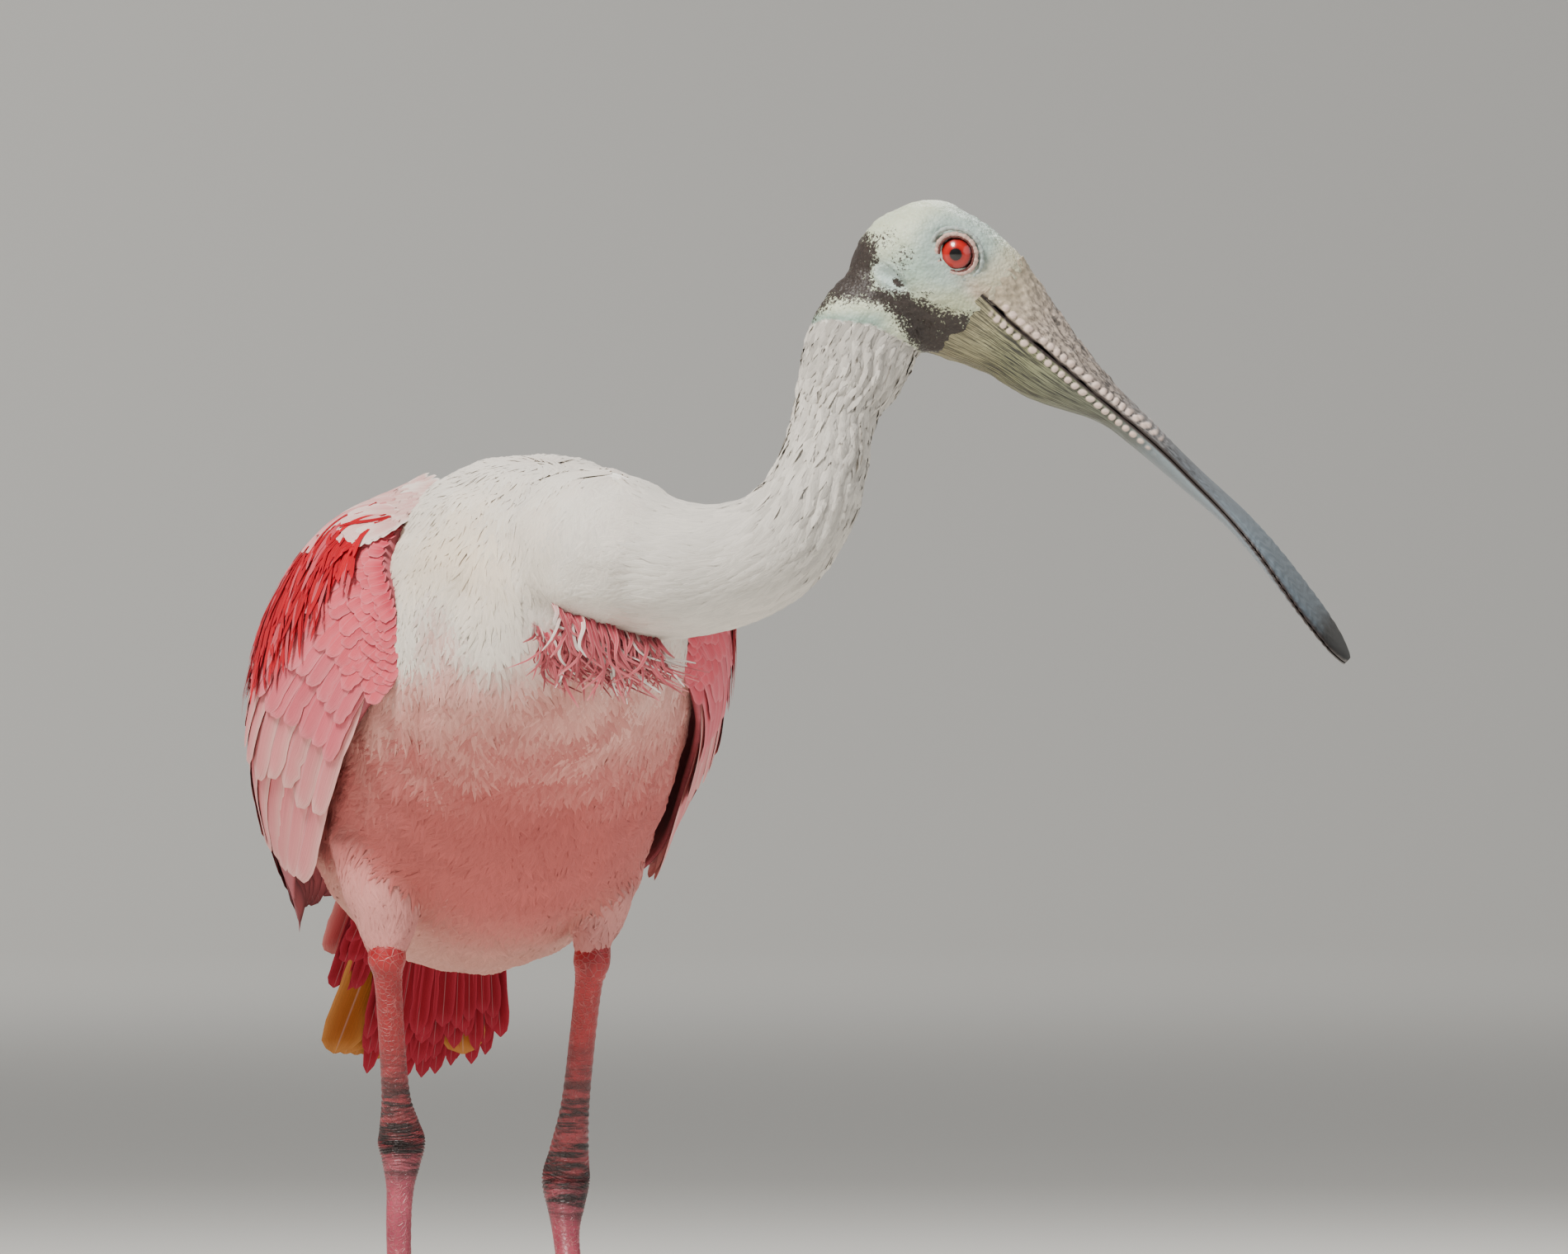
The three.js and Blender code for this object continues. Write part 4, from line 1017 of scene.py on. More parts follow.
class FeatherSet:
    # Gathers feathers into one piece
    def __init__(self):
        self.points, self.tints, self.vanes, self.places, self.patches = [], [], [], [], []

    def add(self, middle, side, normal, half, tints, place, camber=0.14, wear=0.05, draw=None):
        # middle, side, normal: rows by 3; half: rows; tints: root, tip and edge colours
        rows = len(middle)
        steps = np.linspace(0, 1, rows)
        across = vaneAcross
        ragged = 1 - wear * draw.random((rows, 2)) * (2.2 * steps[:, None] + 0.3)
        for _ in range(draw.integers(0, 3)):
            ragged[draw.integers(rows // 3, rows - 1), draw.integers(0, 2)] -= 0.16
        share = np.where(across[None, :] < 0, ragged[:, :1], ragged[:, 1:])
        wide = half[:, None] * across[None, :] * share
        rise = vaneRidge[None, :] * np.minimum(half[:, None] / 8, 1) * (1 - 0.6 * steps[:, None])
        rise = rise - camber * half[:, None] * across[None, :] ** 2
        spot = middle[:, None, :] + side[:, None, :] * wide[..., None]
        spot = spot + normal[:, None, :] * rise[..., None]
        root, tip, edge = tints
        colour = root + (tip - root) * ease(0.05, 0.75, steps)[:, None, None]
        rim = np.maximum(np.abs(across[None, :]) ** 3, ease(0.8, 1.0, steps)[:, None])[..., None]
        colour = np.broadcast_to(colour, (rows, len(across), 3)) * (1 - rim) + edge * rim
        shaft = (vaneRidge > 0.2)[None, :, None]
        colour = np.where(shaft, colour * 0.86 + 0.1, colour)
        self.points.append(spot.reshape(-1, 3))
        self.tints.append(colour.reshape(-1, 3))
        turnTo = float(draw.integers(0, 40))
        grid = np.stack(np.broadcast_arrays(across[None, :] * 0.5 + 0.5 + turnTo,
                                            steps[:, None]), axis=2)
        self.vanes.append(grid.reshape(-1, 2))
        patch = bakePatch / 2
        bake = np.stack(np.broadcast_arrays(across[None, :] * patch,
                                            (steps[:, None] * 2 - 1) * patch), axis=2)
        self.patches.append(bake.reshape(-1, 2))
        self.places.append(np.tile(np.array(place, float), (rows * len(across), 1)))

    def finish(self, name, material, rows):
        wide = len(vaneAcross)
        one = [(r * wide + c, r * wide + c + 1, (r + 1) * wide + c + 1, (r + 1) * wide + c)
               for r in range(rows - 1) for c in range(wide - 1)]
        size = rows * wide
        faces = [tuple(k * size + i for i in face) for k in range(len(self.points)) for face in one]
        piece = meshObject(name, np.vstack(self.points), faces, material)
        pointField(piece, "tint", np.clip(np.vstack(self.tints), 0, 1), "FLOAT_COLOR")
        uvMap(piece, "vane", np.vstack(self.vanes))
        places = np.vstack(self.places)
        low, high = places.min(0), places.max(0)
        places = 0.01 + 0.98 * (places - low) / (high - low)
        uvMap(piece, "OFBake", places + np.vstack(self.patches))
        return piece


vaneRows = 15
wingGrid = np.array(wingRows, float)


def wingSpot(side, s, t):
    s, t = np.broadcast_arrays(np.asarray(s, float), np.asarray(t, float))
    shareS = through(np.eye(8), s * 7)
    shareT = through(np.eye(4), t * 3)
    spot = np.einsum("...i,...j,ijk->...k", shareS, shareT, wingGrid)
    return spot * np.array([-side, 1, 1])


def wingTurn(side, s, t):
    # Directions to the rear, down the wing and out of it
    s, t = np.broadcast_arrays(np.asarray(s, float), np.asarray(t, float))
    step = 0.012
    rear = unit(wingSpot(side, np.minimum(s + step, 1), t)
                - wingSpot(side, np.minimum(s, 1) - step, t))
    low = unit(wingSpot(side, s, np.minimum(t + step, 1))
               - wingSpot(side, s, np.minimum(t, 1) - step))
    out = unit(np.cross(rear, low))
    flip = np.where(out[..., :1] * side < 0, -1.0, 1.0)
    return rear, low, out * flip


def roundTip(k, full=0.95, root=0.45, bendAt=0.78):
    # Half width of a vane along its length: narrow root, full middle, rounded tip
    body = root + (1 - root) * ease(0, 0.35, k)
    end = np.sqrt(np.clip(1 - ((k - bendAt) / (1.0 - bendAt)) ** 2, 0, 1))
    return body * np.where(k > bendAt, np.maximum(end, 0.06), 1.0) * full


def wingFeather(store, side, start, end, half, lifts, tilt, tints, draw, bend=0.0, camber=0.14):
    k = 1 - (1 - np.linspace(0, 1, vaneRows)) ** 1.25
    s = mix(start[0], end[0], k) + bend * np.sin(k * math.pi)
    t = mix(start[1], end[1], k)
    spot = wingSpot(side, np.minimum(s, 1.0), np.clip(t, -0.1, 1.0))
    rear, low, out = wingTurn(side, s, t)
    spot = spot + rear * (np.maximum(s - 1, 0) * 305)[:, None]
    spot = spot + low * ((t - np.clip(t, -0.1, 1.0)) * 95)[:, None]
    middle = spot + out * (lifts[0] + (lifts[1] - lifts[0]) * k ** 0.8)[:, None]
    ahead = unit(np.gradient(middle, axis=0))
    cross = unit(np.cross(out, ahead))
    cross = cross * np.where((cross * low).sum(1, keepdims=True) < 0, -1.0, 1.0)
    turn = rad(tilt)
    sideWay = cross * math.cos(turn) + out * math.sin(turn)
    normal = out * math.cos(turn) - cross * math.sin(turn)
    store.add(middle, sideWay, normal, half * roundTip(k), tints,
              (0.05 + 0.9 * start[0], 0.05 + 0.9 * start[1]), camber, draw=draw)


wingTones = {
    # The flight feathers' deep pink is partly their own colour and partly painted shade of the
    # wing's lower rear
    "flightRoot": "#A2424C", "flightTip": "#C9666C", "flightEdge": "#7A3238",
    "paleRoot": "#DC5F6C", "paleTip": "#E88D90", "paleEdge": "#F0B6B0",
    "pinkRoot": "#CC3F52", "pinkTip": "#E66C79", "pinkEdge": "#EE8A92",
    "smallRoot": "#CB3C4F", "smallTip": "#E45F6C", "smallEdge": "#EA7D87",
    "whiteRoot": "#E0B4AC", "whiteTip": "#EEDFD4", "whiteEdge": "#F2E8DE",
    "carmineRoot": "#A00010", "carmineTip": "#BE0018", "carmineEdge": "#D01832",
    # down tones: pink of the inner feathering darkened as painted shade; Root is the side toward
    # the body
    "downRoot": "#8E3F45", "downTip": "#B4626A",
}
wingTiers = [  # count, roots from and to, tips from and to, half width, lifts, tilt, tints
    (8, (0.5, 0.88), (0.56, 0.42), (0.86, 0.94), (1.02, 0.5), 8, (-1.4, -1.0), 12, "flight"),
    (13, (0.14, 0.9), (0.46, 0.24), (0.44, 1.03), (0.88, 0.42), 9.5, (-1.4, 1.2), 8, "pale"),
    (6, (0.34, 0.32), (0.4, 0.05), (0.84, 0.3), (0.78, 0.05), 12, (-1, 3.0), 9, "pale"),
    (13, (0.09, 0.88), (0.36, 0.16), (0.31, 1.01), (0.6, 0.26), 8, (-1.2, 2.0), 8, "pale"),
    (14, (0.06, 0.84), (0.27, 0.2), (0.22, 0.96), (0.46, 0.28), 7, (-1.0, 2.2), 8, "pink"),
    (14, (0.035, 0.8), (0.2, 0.2), (0.16, 0.92), (0.34, 0.28), 6.2, (-0.8, 2.4), 8, "pink"),
    (14, (0.02, 0.76), (0.14, 0.2), (0.115, 0.87), (0.26, 0.28), 5.6, (-0.5, 2.4), 7, "small"),
    (15, (0.01, 0.92), (0.09, 0.2), (0.075, 0.99), (0.18, 0.27), 5.0, (-0.4, 2.2), 7, "small"),
    (16, (0.002, 0.97), (0.05, 0.2), (0.05, 1.0), (0.12, 0.26), 4.4, (-0.3, 2.0), 7, "small"),
    (17, (-0.006, 0.98), (0.02, 0.2), (0.03, 1.0), (0.075, 0.25), 3.8, (-0.3, 1.8), 7, "small"),
    (18, (-0.014, 0.98), (-0.004, 0.2), (0.018, 1.0), (0.04, 0.24), 3.4, (-0.6, 1.8), 6, "small"),
]


def tintsOf(kind, shade=1.0):
    return tuple(np.clip(tone(wingTones[kind + part]) * shade, 0, 1)
                 for part in ("Root", "Tip", "Edge"))


def wingSkin(side, name):
    # Flesh and inner feathering of the wing as one bent slab, a dark pink that is partly painted
    # shade in the gaps between the feathers, darkest on its side toward the body
    across, down = 60, 28
    s = np.linspace(0.0, 0.62, across + 1)[:, None] * np.ones(down + 1)
    t = np.linspace(0.02, 0.98, down + 1)[None, :] * np.ones((across + 1, 1))
    spot = wingSpot(side, s, t)
    out = wingTurn(side, s, t)[2]
    depth = 1.5 + 7.5 * np.sin(math.pi * t) ** 0.7 * (1 - s / 0.64) ** 0.7
    points = np.concatenate([(spot - out * 0.6).reshape(-1, 3),
                             (spot - out * depth[..., None]).reshape(-1, 3)])
    wide, half = down + 1, (across + 1) * (down + 1)
    faces = []
    for i in range(across):
        for j in range(down):
            a = i * wide + j
            faces.append((a, a + 1, a + wide + 1, a + wide))
            faces.append((half + a, half + a + wide, half + a + wide + 1, half + a + 1))
    rim = list(range(wide)) + [i * wide + down for i in range(1, across + 1)]
    rim += [across * wide + j for j in range(down - 1, -1, -1)]
    rim += [i * wide for i in range(across - 1, 0, -1)]
    for a, b in zip(rim, rim[1:] + rim[:1]):
        faces.append((a, half + a, half + b, b))
    piece = meshObject(name, points, faces, plume)
    # Painted shade: the face toward the body takes the darker tone
    deep = np.repeat([0, 1], half)
    tint = mix(tone(wingTones["downTip"]), tone(wingTones["downRoot"]), deep[:, None])
    pointField(piece, "tint", tint, "FLOAT_COLOR")
    grid = np.stack([np.concatenate([s.ravel(), s.ravel()]) * 40,
                     np.concatenate([t.ravel(), t.ravel()])], axis=1)
    uvMap(piece, "vane", grid)
    uvMap(piece, "OFBake", 0.01 + 0.98 * np.column_stack([
        np.concatenate([s.ravel() / 1.3, 0.5 + s.ravel() / 1.3]), np.tile(t.ravel(), 2)]))
    return piece


wingSizes = {
    "plumes": 560,         # carmine
    "quickPlumes": 120,
    "scapulars": 380,
    "quickScapulars": 120,
}


def layWing(side, word, seed):
    draw = np.random.default_rng(seed)
    flight, small = FeatherSet(), FeatherSet()
    for index, (count, rootA, rootB, tipA, tipB, half, lifts, tilt, kind) in enumerate(wingTiers):
        store = flight if index < 4 else small
        for i in range(count):
            k = i / (count - 1)
            stray = draw.normal(0, 0.006, 2)
            start = (mix(rootA[0], rootB[0], k), mix(rootA[1], rootB[1], k))
            end = (mix(tipA[0], tipB[0], k) + stray[0], mix(tipA[1], tipB[1], k) + stray[1])
            shade = draw.uniform(0.92, 1.05)
            tints = tintsOf(kind, shade)
            if index in (1, 3) and k > 0.6:
                tints = tuple(mix(a, b, (k - 0.6) * 1.6) for a, b in zip(tints, tintsOf("pink")))
            wingFeather(store, side, start, end, half * draw.uniform(0.95, 1.08), lifts, tilt,
                        tints, draw, bend=draw.normal(0, 0.004))
    pieces = [flight.finish("flight_feathers_" + word, flightPlume, vaneRows),
              small.finish("wing_coverts_" + word, flightPlume, vaneRows),
              wingSkin(side, "wing_down_" + word)]
    plumes = FeatherSet()
    for _ in range(wingSizes["plumes"]):
        s = draw.uniform(0.03, 0.44)
        t = draw.uniform(0.18, 0.46 - 0.22 * abs(s - 0.2) / 0.22)
        end = (s + draw.uniform(0.02, 0.1), min(0.72, t + draw.uniform(0.13, 0.31)))
        high = draw.uniform(2.5, 3.9)
        tints = tintsOf("carmine", draw.uniform(0.75, 1.15))
        if draw.random() < 0.16:   # a few plumes are paler
            tints = tuple(mix(a, b, 0.5) for a, b in zip(tints, tintsOf("pink")))
        wingFeather(plumes, side, (s, t), end, draw.uniform(0.8, 1.5), (high * 0.5, high), 0,
                    tints, draw, bend=draw.normal(0, 0.012), camber=0.05)
    pieces.append(plumes.finish("carmine_plumes_" + word, plume, vaneRows))
    mantle = FeatherSet()
    spots = draw.random((wingSizes["scapulars"], 2))
    for s, t in spots[np.argsort(-spots[:, 1] - spots[:, 0])]:
        s, t = -0.03 + 0.58 * s, -0.055 + 0.305 * t
        end = (s + draw.uniform(0.05, 0.09), t + draw.uniform(0.10, 0.17) * (1 - s))
        high = 0.2 + 2.9 * ease(0.0, 0.26, t) + draw.uniform(0, 0.6)
        blush = ease(0.05, 0.5, s + 0.9 * t + draw.normal(0, 0.05)) * 0.8
        tints = tuple(mix(a, b, blush) for a, b in zip(tintsOf("white"), tintsOf("pink")))
        wingFeather(mantle, side, (s, t), end, draw.uniform(3.6, 5.6), (high * 0.6, high), 2,
                    tints, draw, bend=draw.normal(0, 0.006))
    pieces.append(mantle.finish("scapular_feathers_" + word, flightPlume, vaneRows))
    for piece in pieces:
        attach(piece, "root")
    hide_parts("wing_" + word)


tuftSizes = {
    "count": 360,
    "quickCount": 100,
    "fromX": -14,       # mm across the breast
    "toX": 29,
    "top": 291,
    "whiteShare": 0.12,
    "white": ("#D9A09C", "#EFE0D8", "#F2E6DE"),   # root, tip, edge
    "pink": ("#A23645", "#C45A64", "#DA8A8A"),
}


def breastTuft():
    draw = np.random.default_rng(77)
    store = FeatherSet()
    k = np.linspace(0, 1, vaneRows)
    for _ in range(tuftSizes["count"]):
        x = draw.uniform(tuftSizes["fromX"], tuftSizes["toX"])
        drop = draw.uniform(10, 25) * (1 - 0.35 * abs((x - 9) / 20) ** 2)
        top = tuftSizes["top"] - draw.uniform(0, 15) - 0.1 * abs(x - 8)
        spot, out = nearestOn(np.array([[x, -112.0, top]]))
        sweep = draw.normal(2.5, 5.0)
        curl = draw.uniform(-5, 9)
        away = draw.uniform(1.5, 6.0)
        path = np.array([[0, 0, 0], [sweep * 0.1, 0, -drop * 0.3], [sweep * 0.5, 0, -drop * 0.7],
                         [sweep + curl, 0, -drop]])
        bulge = np.array([-1.0, away * 0.8, away, away * draw.uniform(0.3, 1.1)])
        path = path + spot[0] + bulge[:, None] * np.array([0.1, -1, -0.1])
        middle = through(path, k * 3)
        ahead = unit(np.gradient(middle, axis=0))
        side = unit(np.cross(ahead, np.array([draw.normal(0, 0.4), -1, 0.2])))
        normal = unit(np.cross(side, ahead))
        shade = draw.uniform(0.85, 1.12)
        kind = "white" if draw.random() < tuftSizes["whiteShare"] else "pink"
        tints = tuple(np.clip(tone(code) * shade, 0, 1) for code in tuftSizes[kind])
        half = draw.uniform(0.45, 0.95) * (1 - 0.75 * k ** 2)
        store.add(middle, side, normal, half, tints, (0.1 + 0.8 * (x + 10) / 37, drop / 30), 0.1,
                  draw=draw)
    piece = store.finish("breast_tuft", plume, vaneRows)
    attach(piece, "root")


breastTuft()
layWing(-1, "right", 71)
layWing(1, "left", 72)
print("wings done")


# Tail

tailDown = rad(46)
tailWay = np.array([0, math.cos(tailDown), -math.sin(tailDown)])
tailUp = np.array([0, math.sin(tailDown), math.cos(tailDown)])
tailTones = {
    "tawnyRoot": "#9A5A22", "tawnyTip": "#8E4A16", "tawnyEdge": "#B87A3E",
    "crimsonRoot": "#5E0410", "crimsonTip": "#80081A", "crimsonEdge": "#A02838",
    "upperRoot": "#C4585A", "upperTip": "#B8474A", "upperEdge": "#D88884",
}


def tailAt(back, up, x):
    back, up, x = np.broadcast_arrays(back, up, x)
    return (np.array([0, 128, 209]) + back[..., None] * tailWay + up[..., None] * tailUp
            + x[..., None] * np.array([1.0, 0, 0]))


def tailFeather(store, xs, backs, ups, half, kind, tilt, draw, place):
    k = 1 - (1 - np.linspace(0, 1, vaneRows)) ** 1.25
    middle = tailAt(mix(backs[0], backs[1], k), mix(ups[0], ups[1], k), mix(xs[0], xs[1], k))
    side = np.tile(np.array([1.0, 0, 0]) * math.cos(rad(tilt)) + tailUp * math.sin(rad(tilt)),
                   (vaneRows, 1))
    ahead = unit(np.gradient(middle, axis=0))
    normal = unit(np.cross(side, ahead))
    shade = draw.uniform(0.92, 1.06)
    tints = tuple(np.clip(tone(tailTones[kind + part]) * shade, 0, 1)
                  for part in ("Root", "Tip", "Edge"))
    store.add(middle, side, normal, half * roundTip(k, bendAt=0.86), tints, place, 0.08, draw=draw)


tailCounts = {"tawny": 12, "upper": 16, "under": 54}


def layTail():
    draw = np.random.default_rng(81)
    fan, under = FeatherSet(), FeatherSet()
    for i in range(tailCounts["tawny"]):
        k = i - 5.5
        rank = abs(k) - 0.5
        drop = -rank * 1.05 - (0.5 if k > 0 else 0)
        tip = 104 - rank * 1.6 + draw.uniform(0, 1.5)
        tailFeather(fan, (k * 1.9, k * 4.1), (16, tip), (drop * 0.8, drop), 8.5, "tawny", 0, draw,
                    (0.1 + i * 0.07, 0.1))
    for i in range(tailCounts["upper"]):
        k = (i - 7.5) * 0.8
        row = i % 3
        tip = 66 - abs(k) * 2.4 - row * 13 + draw.uniform(0, 4)
        lift = 4.4 - abs(k) * 0.5 + row * 0.9
        tailFeather(fan, (k * 3.4, k * 4.6), (-6, tip), (lift * 0.6, lift), 6.5, "upper", 0, draw,
                    (0.06 + i * 0.055, 0.5))
    for i in range(tailCounts["under"]):
        k = (i - 26.5) * 0.2
        row = i % 4
        tip = (105 - row * 8 if k > -2.8 else 70 - row * 13) - abs(k) * 1.8 + draw.uniform(0, 5)
        lift = -6.4 + abs(k) * 0.3 - row * 1.2
        tailFeather(under, (k * 3.6, k * 5.6 + 2.5 + draw.normal(0, 1)), (2, tip), (-5 - row, lift),
                    draw.uniform(2.6, 4.2), "crimson", 0, draw,
                    (0.05 + i * 0.017, 0.2 + row * 0.2))
    # The stump under the feathers
    rings = [ringOf(spot, np.array([1.0, 0, 0]), tailUp, half, high, 36) for spot, half, high in (
        ((0, 112, 214), 14, 14), ((0, 118, 212), 18, 15), ((0, 138, 199), 20, 11),
        ((0, 156, 180), 16, 7), ((0, 166, 169.5), 10, 3))]
    points, faces = skinOver(rings)
    stump = meshObject("tail_down", points, faces, plume)
    pointField(stump, "tint", np.tile(tone("#8E3038"), (len(points), 1)), "FLOAT_COLOR")
    turn = np.tile(np.linspace(0, 1, 36), 5)
    deep = np.repeat(np.linspace(0, 1, 5), 36)
    uvMap(stump, "vane", np.column_stack([turn * 20, deep]))
    uvMap(stump, "OFBake", 0.01 + 0.98 * np.column_stack([turn, deep]))
    pieces = [fan.finish("tail_feathers", flightPlume, vaneRows),
              under.finish("under_tail_feathers", flightPlume, vaneRows), stump]
    for piece in pieces:
        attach(piece, "root")
    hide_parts("tail")


layTail()
print("tail done")


# Bill: upper and lower halves, knobs at the base, tooth-like beads along the mouth

billSizes = {
    "rings": 380,
    "round": 60,
    # the material paints the edges along this gap near black as shade
    "mouthGap": 0.22,   # half the dark line between the halves
    "knob": 0.55,
    "bead": 0.8,
    "beadSpace": 3.1,
    "beadEnd": 66.0,
    "groove": 0.5,
}


def billHalf(upper, name, material):
    count = billSizes["round"]
    places = np.linspace(0.05, len(billRows) - 1.001, billSizes["rings"])
    rows = through(np.array(billRows, float), places)
    flat = 10
    angles = np.linspace(0, math.pi, count)
    pieces, fields = [], []
    sign = 1 if upper else -1
    for a, mouth, top, bottom, half in rows:
        high = (top - mouth) if upper else (mouth - bottom)
        square = mix(2.0, 2.5, min(1, max(0, (a - 60) / 60)))
        c = np.cos(angles)
        s = np.sin(angles)
        x = np.sign(c) * np.abs(c) ** (2 / square) * half
        y = np.abs(s) ** (2 / square) * (high - billSizes["mouthGap"]) + billSizes["mouthGap"]
        inner = np.linspace(-half, half, flat + 2)[1:-1]
        x = np.concatenate([x, inner])
        y = np.concatenate([y, np.full(flat, billSizes["mouthGap"])])
        pieces.append(headPoints(np.full(len(x), a), mouth + sign * y, x))
        turn = np.concatenate([angles, np.full(flat, -1.0)])
        fields.append(np.column_stack([np.full(len(x), a), turn, y, x / half,
                                       np.full(len(x), high)]))
    rings = np.array(pieces)
    field = np.array(fields)
    step = np.roll(rings, -1, axis=1) - np.roll(rings, 1, axis=1)
    ahead = np.gradient(rings, axis=0)
    normal = unit(np.cross(step, ahead))
    centre = rings.mean(axis=1, keepdims=True)
    flip = np.where(((rings - centre) * normal).sum(2, keepdims=True) < 0, -1.0, 1.0)
    normal = normal * flip
    a, turn, y, share, high = (field[..., k] for k in range(5))
    outside = (turn >= 0).astype(float)
    flatPoints = rings.reshape(-1, 3)
    knobs = (smoothNoise(flatPoints, 2.6, 91) * 0.5 + smoothNoise(flatPoints, 5.5, 92) * 0.6)
    knobs = knobs.reshape(a.shape)
    rough = ease(78, 26, a) if upper else ease(50, 8, a) * 0.35
    offset = billSizes["knob"] * knobs * rough
    edge = np.exp(-((y - 2.3) / 1.05) ** 2)
    beads = np.abs(np.sin(math.pi * a / billSizes["beadSpace"] + 0.7 * smoothNoise(
        flatPoints, 14, 93).reshape(a.shape)))
    beadShare = edge * ease(billSizes["beadEnd"] + 14, billSizes["beadEnd"] - 8, a) * ease(-1, 4, a)
    offset += billSizes["bead"] * beadShare * (beads ** 0.7 - 0.35) * 1.3
    if upper:
        fold = np.minimum(turn, math.pi - turn)
        line = np.exp(-((fold - (0.95 - 0.35 * ease(20, 110, a))) / 0.075) ** 2)
        offset -= billSizes["groove"] * line * ease(12, 20, a) * ease(160, 140, a)
        for side in (-1, 1):
            slit = ((a - 20) / 6.2) ** 2 + ((share * through(np.array(billRows), places)[:, 4:5]
                                             - side * 5.6) / 0.9) ** 2
            offset -= 1.5 * np.exp(-slit ** 2)
        offset += 0.35 * np.exp(-((turn - math.pi / 2) / 0.22) ** 2) * ease(40, 8, a)
    ridge = 0.12 * np.sin(a * 1.9 + 3 * smoothNoise(flatPoints, 12, 94).reshape(a.shape))
    offset += ridge * ease(100, 120, a) * ease(166, 150, a) * (0.5 + 0.5 * np.abs(share))
    rings = rings + normal * (offset * outside)[..., None]
    points, faces = skinOver(rings)
    piece = meshObject(name, points, faces, material)
    values = {"forward": a, "beadShare": beadShare * beads, "share": np.abs(share),
              "inside": 1 - outside, "depth": y, "knobs": knobs * rough}
    for key, value in values.items():
        pointField(piece, key, value.ravel())
    pointField(piece, "grain", np.column_stack([a.ravel() / 100, turn.ravel() * 0.12,
                                                share.ravel() * 0.05]), "FLOAT_VECTOR")
    return piece


billLooks = {  # places run from 0 at the gape to 1 at the tip
    "lower": {
        "base": [(0.0, "#A39C78"), (0.12, "#8C8E68"), (0.3, "#7A806E"), (0.42, "#7F8A8E"),
                 (0.75, "#7F8C95"), (0.87, "#646F78"), (0.925, "#0C0E10")],
        "mark": "#2B2A26",                     # dark striae of the throat skin
        "markScale": (9.0, 420.0, 90.0),
        "detail": 4.0,
        "rough": 0.65,
        "markEdge": [(0.44, 0.0), (0.56, 1.0)],
        "markReach": [(0.0, 0.8), (0.1, 1.0), (0.3, 0.95), (0.46, 0.0)],
    },
    "upper": {
        "base": [(0.0, "#BBAB92"), (0.1, "#BBAA9A"), (0.3, "#A2958B"), (0.46, "#777B7F"),
                 (0.7, "#7F8C95"), (0.87, "#69757E"), (0.925, "#0A0C0E")],
        "mark": "#3A3838",                     # dark spots between the knobs
        "markScale": (46.0, 90.0, 60.0),
        "detail": 5.0,
        "rough": 0.7,
        "markEdge": [(0.46, 0.0), (0.57, 1.0)],
        "markReach": [(0.0, 0.15), (0.12, 0.8), (0.45, 0.9), (0.66, 0.2), (1.0, 0.05)],
    },
}


